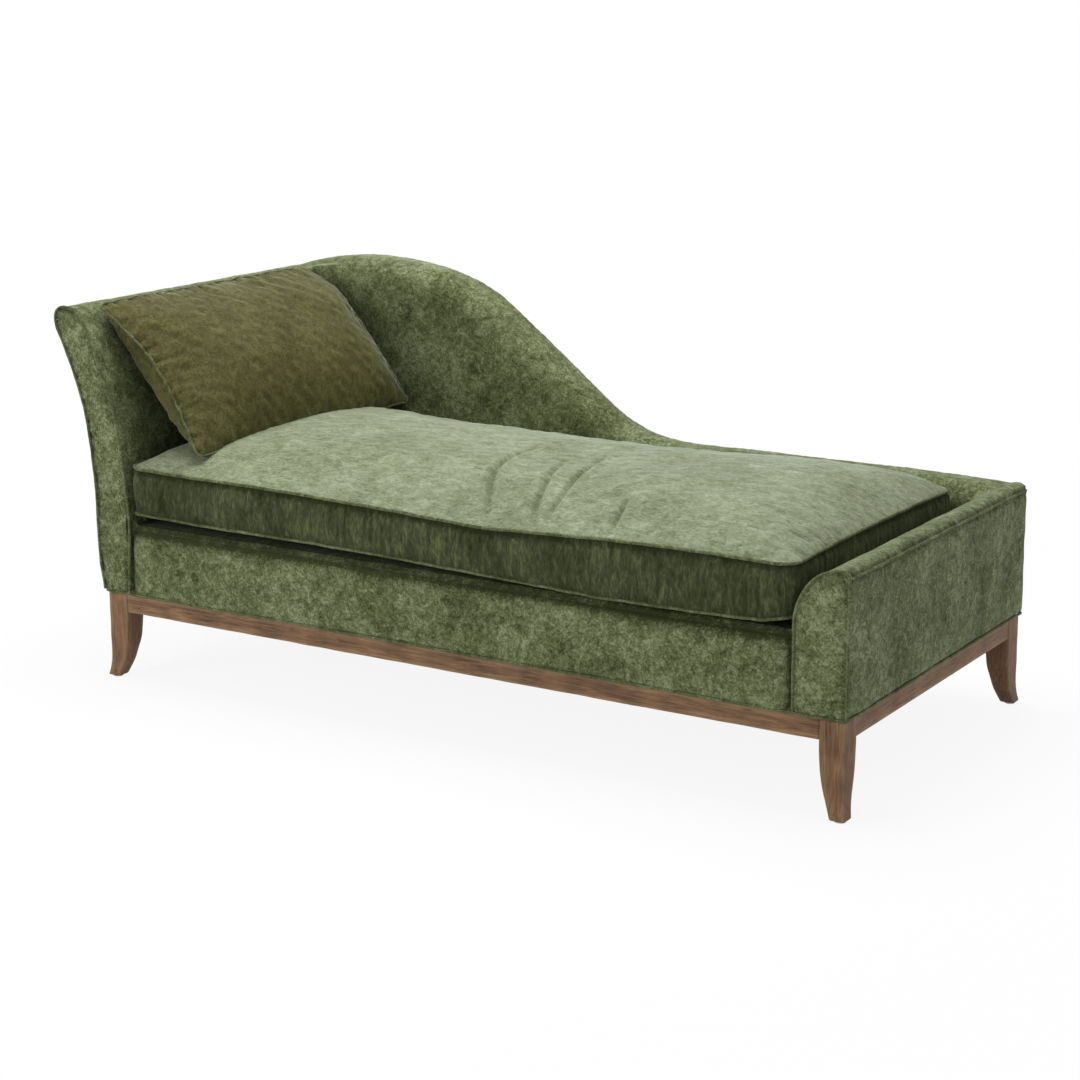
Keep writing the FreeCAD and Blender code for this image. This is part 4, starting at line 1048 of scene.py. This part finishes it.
shell, faceGroups, rimPoints, slackness = buildPillowShell(pillow)
inflate(shell, pillow, rimPoints, slackness)
standPillow(shell, pillow)
pillowFront = cutOut(shell, faceGroups["front"], "pillowFront", pillowVelvet)
pillowBack = cutOut(shell, faceGroups["back"], "pillowBack", pillowVelvet)
pillowSeam = readPoints(shell.data)[rimPoints + rimPoints[:1]]
bpy.data.objects.remove(shell)
for cover, nodeNames in ((pillowFront, ["pillow_front_panel", "pillow_filling"]),
                         (pillowBack, ["pillow_back_panel"])):
    applyModifier(cover, "SUBSURF", levels=1, render_levels=1)
    detailPillow(cover, pillowSeam, pillow)
    finishCover(cover, "pillow", pillow["cover"], nodeNames)
makePiping("pillowPiping", pillowSeam, piping["pillow"], "pillow", "pillow_welt")
print("pillow made")

# Washed oak: solid oak, wire brushed so that its pores stand open, washed grey-brown and rubbed back on
# the edges. Growth bands about 7 mm apart run with the grain, and pores about 2 mm apart are drawn wide
# enough to show.
oak = {"dark": "#4c321e", "mid": "#765539", "light": "#927049", "pore": "#33221a", "worn": "#a58a66",
       "band": 0.007, "poreGap": 0.0021, "cloud": 1 / 18, "stretch": 0.055, "bump": 0.0006}


def makeOak(name, grainAxis):
    material, tree = startMaterial(name)
    place = addNode(tree, "ShaderNodeTexCoord").outputs["Object"]
    squeeze = [1.0, 1.0, 1.0]
    squeeze["XYZ".index(grainAxis)] = oak["stretch"]
    drawn = addNode(tree, "ShaderNodeMapping", values={"Scale": squeeze}, links={"Vector": place}).outputs[0]
    band = addNode(tree, "ShaderNodeTexNoise", values={"Scale": 1 / oak["band"], "Detail": 5.0,
                   "Roughness": 0.62, "Distortion": 1.1}, links={"Vector": drawn}).outputs["Fac"]
    cloud = addNode(tree, "ShaderNodeTexNoise", values={"Scale": 1 / oak["cloud"], "Detail": 3.0},
                    links={"Vector": place}).outputs["Fac"]
    pore = addNode(tree, "ShaderNodeTexNoise", values={"Scale": 1 / oak["poreGap"], "Detail": 2.0,
                   "Roughness": 0.6}, links={"Vector": drawn}).outputs["Fac"]
    share = addNode(tree, "ShaderNodeMath", {"operation": "MULTIPLY"}, {1: 0.28}, {0: cloud})
    tone = addNode(tree, "ShaderNodeMath", {"operation": "MULTIPLY_ADD"}, {1: 0.72},
                   {0: band, 2: share.outputs[0]})
    colour = addNode(tree, "ShaderNodeValToRGB", links={"Fac": tone.outputs[0]},
                     stops=[(0.36, fromHex(oak["dark"])), (0.64, fromHex(oak["light"])),
                            (0.50, fromHex(oak["mid"]))])
    openPore = addNode(tree, "ShaderNodeMapRange", values={"From Min": 0.57, "From Max": 0.68, "To Min": 0.0,
                    "To Max": 0.75}, links={"Value": pore}).outputs[0]
    pored = addNode(tree, "ShaderNodeMix", {"data_type": "RGBA"}, values={7: fromHex(oak["pore"])},
                    links={0: openPore, 6: colour.outputs[0]})
    wear = addNode(tree, "ShaderNodeAttribute", {"attribute_name": "wear"}).outputs["Fac"]
    rubbed = addNode(tree, "ShaderNodeMath", {"operation": "MULTIPLY"}, links={0: wear, 1: cloud})
    worn = addNode(tree, "ShaderNodeMix", {"data_type": "RGBA"}, values={7: fromHex(oak["worn"])},
                   links={0: rubbed.outputs[0], 6: pored.outputs[2]})
    height = addNode(tree, "ShaderNodeMath", {"operation": "SUBTRACT"}, links={0: band, 1: openPore})
    bump = addNode(tree, "ShaderNodeBump", values={"Strength": 0.5, "Distance": oak["bump"]},
                   links={"Height": height.outputs[0]})
    dull = addNode(tree, "ShaderNodeMapRange", values={"From Min": 0.3, "From Max": 0.7, "To Min": 0.52,
                   "To Max": 0.70}, links={"Value": band})
    shader = addNode(tree, "ShaderNodeBsdfPrincipled", values={"Specular IOR Level": 0.35},
                     links={"Base Color": worn.outputs[2], "Roughness": dull.outputs[0],
                            "Normal": bump.outputs[0]})
    return finishMaterial(material, shader.outputs[0])


oakAlong = {axis: makeOak("washedOak" + axis, axis) for axis in "XYZ"}

# Wooden base: sabre legs square above, kicked out on both outer faces and tapered inside, and four aprons
legs = {"width": 0.053, "inset": 0.005, "foot": 0.003, "top": 0.195, "kick": 0.007, "kickTop": 0.050,
        "taper": 0.028, "taperTop": 0.150, "round": 0.0035, "uneven": 0.00025,
        "levels": (0.012, 0.022, 0.034, 0.046, 0.060, 0.076, 0.094, 0.114, 0.134, 0.152)}
aprons = {"round": 0.0018, "cutEvery": 0.03, "uneven": 0.0002}
wornEdge = 0.0045


def selectPoints(piece, chosen):
    bpy.ops.mesh.select_mode(type="VERT")
    bpy.ops.mesh.select_all(action="DESELECT")
    bpy.ops.object.mode_set(mode="OBJECT")
    for point in piece.data.vertices:
        point.select = bool(chosen(point.co))
    bpy.ops.object.mode_set(mode="EDIT")


def paintWear(piece, sideGaps):
    # 1 along the long edges, falling off over a few millimetres
    first, second = sideGaps(readPoints(piece.data))
    wear = np.exp(-np.maximum(first, second) / wornEdge)
    attribute = piece.data.attributes.new("wear", "FLOAT", "POINT")
    attribute.data.foreach_set("value", wear.astype(np.float32))


def easeEdges(piece, width):
    # rounds the edges, then adds enough points to carry wear and unevenness
    applyModifier(piece, "BEVEL", width=width, segments=3, limit_method="ANGLE", angle_limit=math.radians(50))
    applyModifier(piece, "SUBSURF", subdivision_type="SIMPLE", levels=2, render_levels=2)


def legKick(z):
    return legs["kick"] * max(0.0, (legs["kickTop"] - z) / (legs["kickTop"] - legs["foot"])) ** 1.9


def legTaper(z):
    return legs["taper"] * max(0.0, (legs["taperTop"] - z) / (legs["taperTop"] - legs["foot"])) ** 2.3


def modelLeg():
    # drawn at the rear foot corner, where both outer faces point along plus X and plus Y
    width, height = legs["width"], legs["top"] - legs["foot"]
    outerX = baseSize["halfLength"] - legs["inset"]
    outerY = baseSize["halfDepth"] - legs["inset"]
    deselectAll()
    middle = (outerX - width / 2, outerY - width / 2, legs["foot"] + height / 2)
    bpy.ops.mesh.primitive_cube_add(size=1, location=middle, scale=(width, width, height))
    leg = bpy.context.object
    bpy.ops.object.transform_apply(location=True, rotation=False, scale=True)
    bpy.ops.object.mode_set(mode="EDIT")
    for level in legs["levels"]:
        bpy.ops.mesh.select_all(action="SELECT")
        bpy.ops.mesh.bisect(plane_co=(0, 0, level), plane_no=(0, 0, 1))
    for level in (legs["foot"], *legs["levels"]):
        for axis, outer in ((0, outerX), (1, outerY)):
            for side, shift in ((outer, legKick(level)), (outer - width, legTaper(level))):
                selectPoints(leg, lambda co: abs(co.z - level) < 1e-4 and abs(co[axis] - side) < 1e-4)
                move = [0.0, 0.0, 0.0]
                move[axis] = shift
                bpy.ops.transform.translate(value=move)
    bpy.ops.object.mode_set(mode="OBJECT")
    easeEdges(leg, legs["round"])

    def gaps(points):
        kick = np.array([legKick(z) for z in points[:, 2]])
        taper = np.array([legTaper(z) for z in points[:, 2]])
        found = []
        for axis, outer in ((0, outerX), (1, outerY)):
            inner = outer - width + taper
            found.append(np.minimum(outer + kick - points[:, axis], points[:, axis] - inner))
        return found

    paintWear(leg, gaps)
    return leg


def placeLeg(model, name, nodeName, xSide, ySide):
    leg = model.copy()
    leg.data = model.data.copy()
    scene.collection.objects.link(leg)
    leg.name = leg.data.name = name
    points = readPoints(leg.data)
    points += waves(points, 0.05, 51)[:, None] * legs["uneven"]
    points *= np.array([xSide, ySide, 1])
    points[:, 0] += baseShift
    writePoints(leg.data, points)
    if xSide * ySide < 0:
        leg.data.flip_normals()
    finishWood(leg, oakAlong["Z"], nodeName)


def finishWood(piece, material, nodeName):
    piece.data.materials.clear()
    piece.data.materials.append(material)
    smoothShade(piece, 35)
    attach(piece, "body")
    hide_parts(nodeName)


def modelApron(name, nodeName, low, high, grainAxis):
    # a planed board with eased edges, cut across often enough to carry a slight unevenness
    size = [b - a for a, b in zip(low, high)]
    deselectAll()
    bpy.ops.mesh.primitive_cube_add(size=1, location=[(a + b) / 2 for a, b in zip(low, high)], scale=size)
    board = bpy.context.object
    board.name = board.data.name = name
    bpy.ops.object.transform_apply(location=True, rotation=False, scale=True)
    axis = "XYZ".index(grainAxis)
    bpy.ops.object.mode_set(mode="EDIT")
    normal = [0.0, 0.0, 0.0]
    normal[axis] = 1.0
    for place in np.arange(low[axis] + aprons["cutEvery"], high[axis] - 0.01, aprons["cutEvery"]):
        bpy.ops.mesh.select_all(action="SELECT")
        spot = [0.0, 0.0, 0.0]
        spot[axis] = float(place)
        bpy.ops.mesh.bisect(plane_co=spot, plane_no=normal)
    bpy.ops.object.mode_set(mode="OBJECT")
    easeEdges(board, aprons["round"])
    across = [index for index in range(3) if index != axis]

    def gaps(points):
        return [np.minimum(points[:, index] - low[index], high[index] - points[:, index]) for index in across]

    paintWear(board, gaps)
    points = readPoints(board.data)
    writePoints(board.data, points + waves(points, 0.09, 52)[:, None] * aprons["uneven"])
    finishWood(board, oakAlong[grainAxis], nodeName)


legModel = modelLeg()
for legName, nodeName, xSide, ySide in (("legFrontHead", "leg_front_head", -1, -1),
                                        ("legFrontFoot", "leg_front_foot", 1, -1),
                                        ("legRearHead", "leg_rear_head", -1, 1),
                                        ("legRearFoot", "leg_rear_foot", 1, 1)):
    placeLeg(legModel, legName, nodeName, xSide, ySide)
bpy.data.objects.remove(legModel)
for boardName, nodeName, grainAxis in (("apronFront", "apron_front", "X"), ("apronRear", "apron_rear", "X"),
                                       ("apronHead", "apron_head", "Y"), ("apronFoot", "apron_foot", "Y")):
    modelApron(boardName, nodeName, *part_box(nodeName), grainAxis)
print("wooden base modelled")


# Finishes of the hidden pieces, and of the small hardware. Each has its two tones, the size of its
# grain in metres, how rough it is, whether it is metal, and how deep its grain stands.
finishes = {
    "sawnPine": ("#c9a878", "#a9824f", 0.004, 0.75, 0.0, 0.0004),        # seat frame, rough from the saw
    "birchPlywood": ("#d3b88c", "#b99662", 0.003, 0.65, 0.0, 0.0003),    # shaped boards, layered birch
    "cutFoam": ("#e9dfbd", "#d8cb9f", 0.0012, 0.95, 0.0, 0.0006),        # open cells, about 1 mm
    "polyesterWadding": ("#f3f3ef", "#dfe0dc", 0.006, 1.0, 0.0, 0.0015), # loose white fibre
    "hairFelt": ("#8d8577", "#5f594e", 0.002, 1.0, 0.0, 0.0008),         # pressed grey felt
    "spunDustCloth": ("#26272a", "#17181a", 0.0015, 0.9, 0.0, 0.0003),   # black non-woven cloth
    "bluedSpringSteel": ("#4c4f55", "#2f3136", 0.003, 0.38, 1.0, 0.0),   # oil-tempered wire
    "zincPlatedSteel": ("#b9bcc0", "#9da1a6", 0.003, 0.34, 1.0, 0.0),    # bright plated screws
    "wovenZipTape": ("#4c5136", "#383c26", 0.0011, 0.85, 0.0, 0.0004),   # olive polyester tape and coil
    "brassPlate": ("#8d7748", "#6f5c34", 0.002, 0.36, 1.0, 0.0),         # antique brass slider
    "mouldedNylon": ("#d9d6cd", "#c9c5ba", 0.004, 0.5, 0.0, 0.0001),     # pale moulded glides
}
finishOfSlot = {
    "frame_timber": "sawnPine", "plywood": "birchPlywood", "foam": "cutFoam", "felt_pad": "hairFelt",
    "polyester_wadding": "polyesterWadding", "dust_cloth": "spunDustCloth",
    "spring_steel": "bluedSpringSteel", "zinc_steel": "zincPlatedSteel", "zip_tape": "wovenZipTape",
    "zip_metal": "brassPlate", "glide_nylon": "mouldedNylon",
}


def makeFinish(name, values):
    light, dark, size, roughness, metallic, depth = values
    material, tree = startMaterial(name)
    place = addNode(tree, "ShaderNodeTexCoord").outputs["Object"]
    grain = addNode(tree, "ShaderNodeTexNoise", values={"Scale": 1 / size, "Detail": 4.0, "Roughness": 0.6},
                    links={"Vector": place}).outputs["Fac"]
    colour = addNode(tree, "ShaderNodeValToRGB", links={"Fac": grain},
                     stops=[(0.35, fromHex(dark)), (0.65, fromHex(light))])
    bump = addNode(tree, "ShaderNodeBump", values={"Strength": 0.5, "Distance": max(depth, 0.00005)},
                   links={"Height": grain})
    shader = addNode(tree, "ShaderNodeBsdfPrincipled", values={"Metallic": metallic, "Roughness": roughness},
                     links={"Base Color": colour.outputs[0], "Normal": bump.outputs[0]})
    return finishMaterial(material, shader.outputs[0])


finishMaterials = {name: makeFinish(name, values) for name, values in finishes.items()}
for part in frame["record"]["subparts"]:
    if part["material_slot"] in finishOfSlot:
        for materialSlot in frame["nodes"][part["node"]].material_slots:
            materialSlot.material = finishMaterials[finishOfSlot[part["material_slot"]]]
print("hidden pieces and hardware finished")
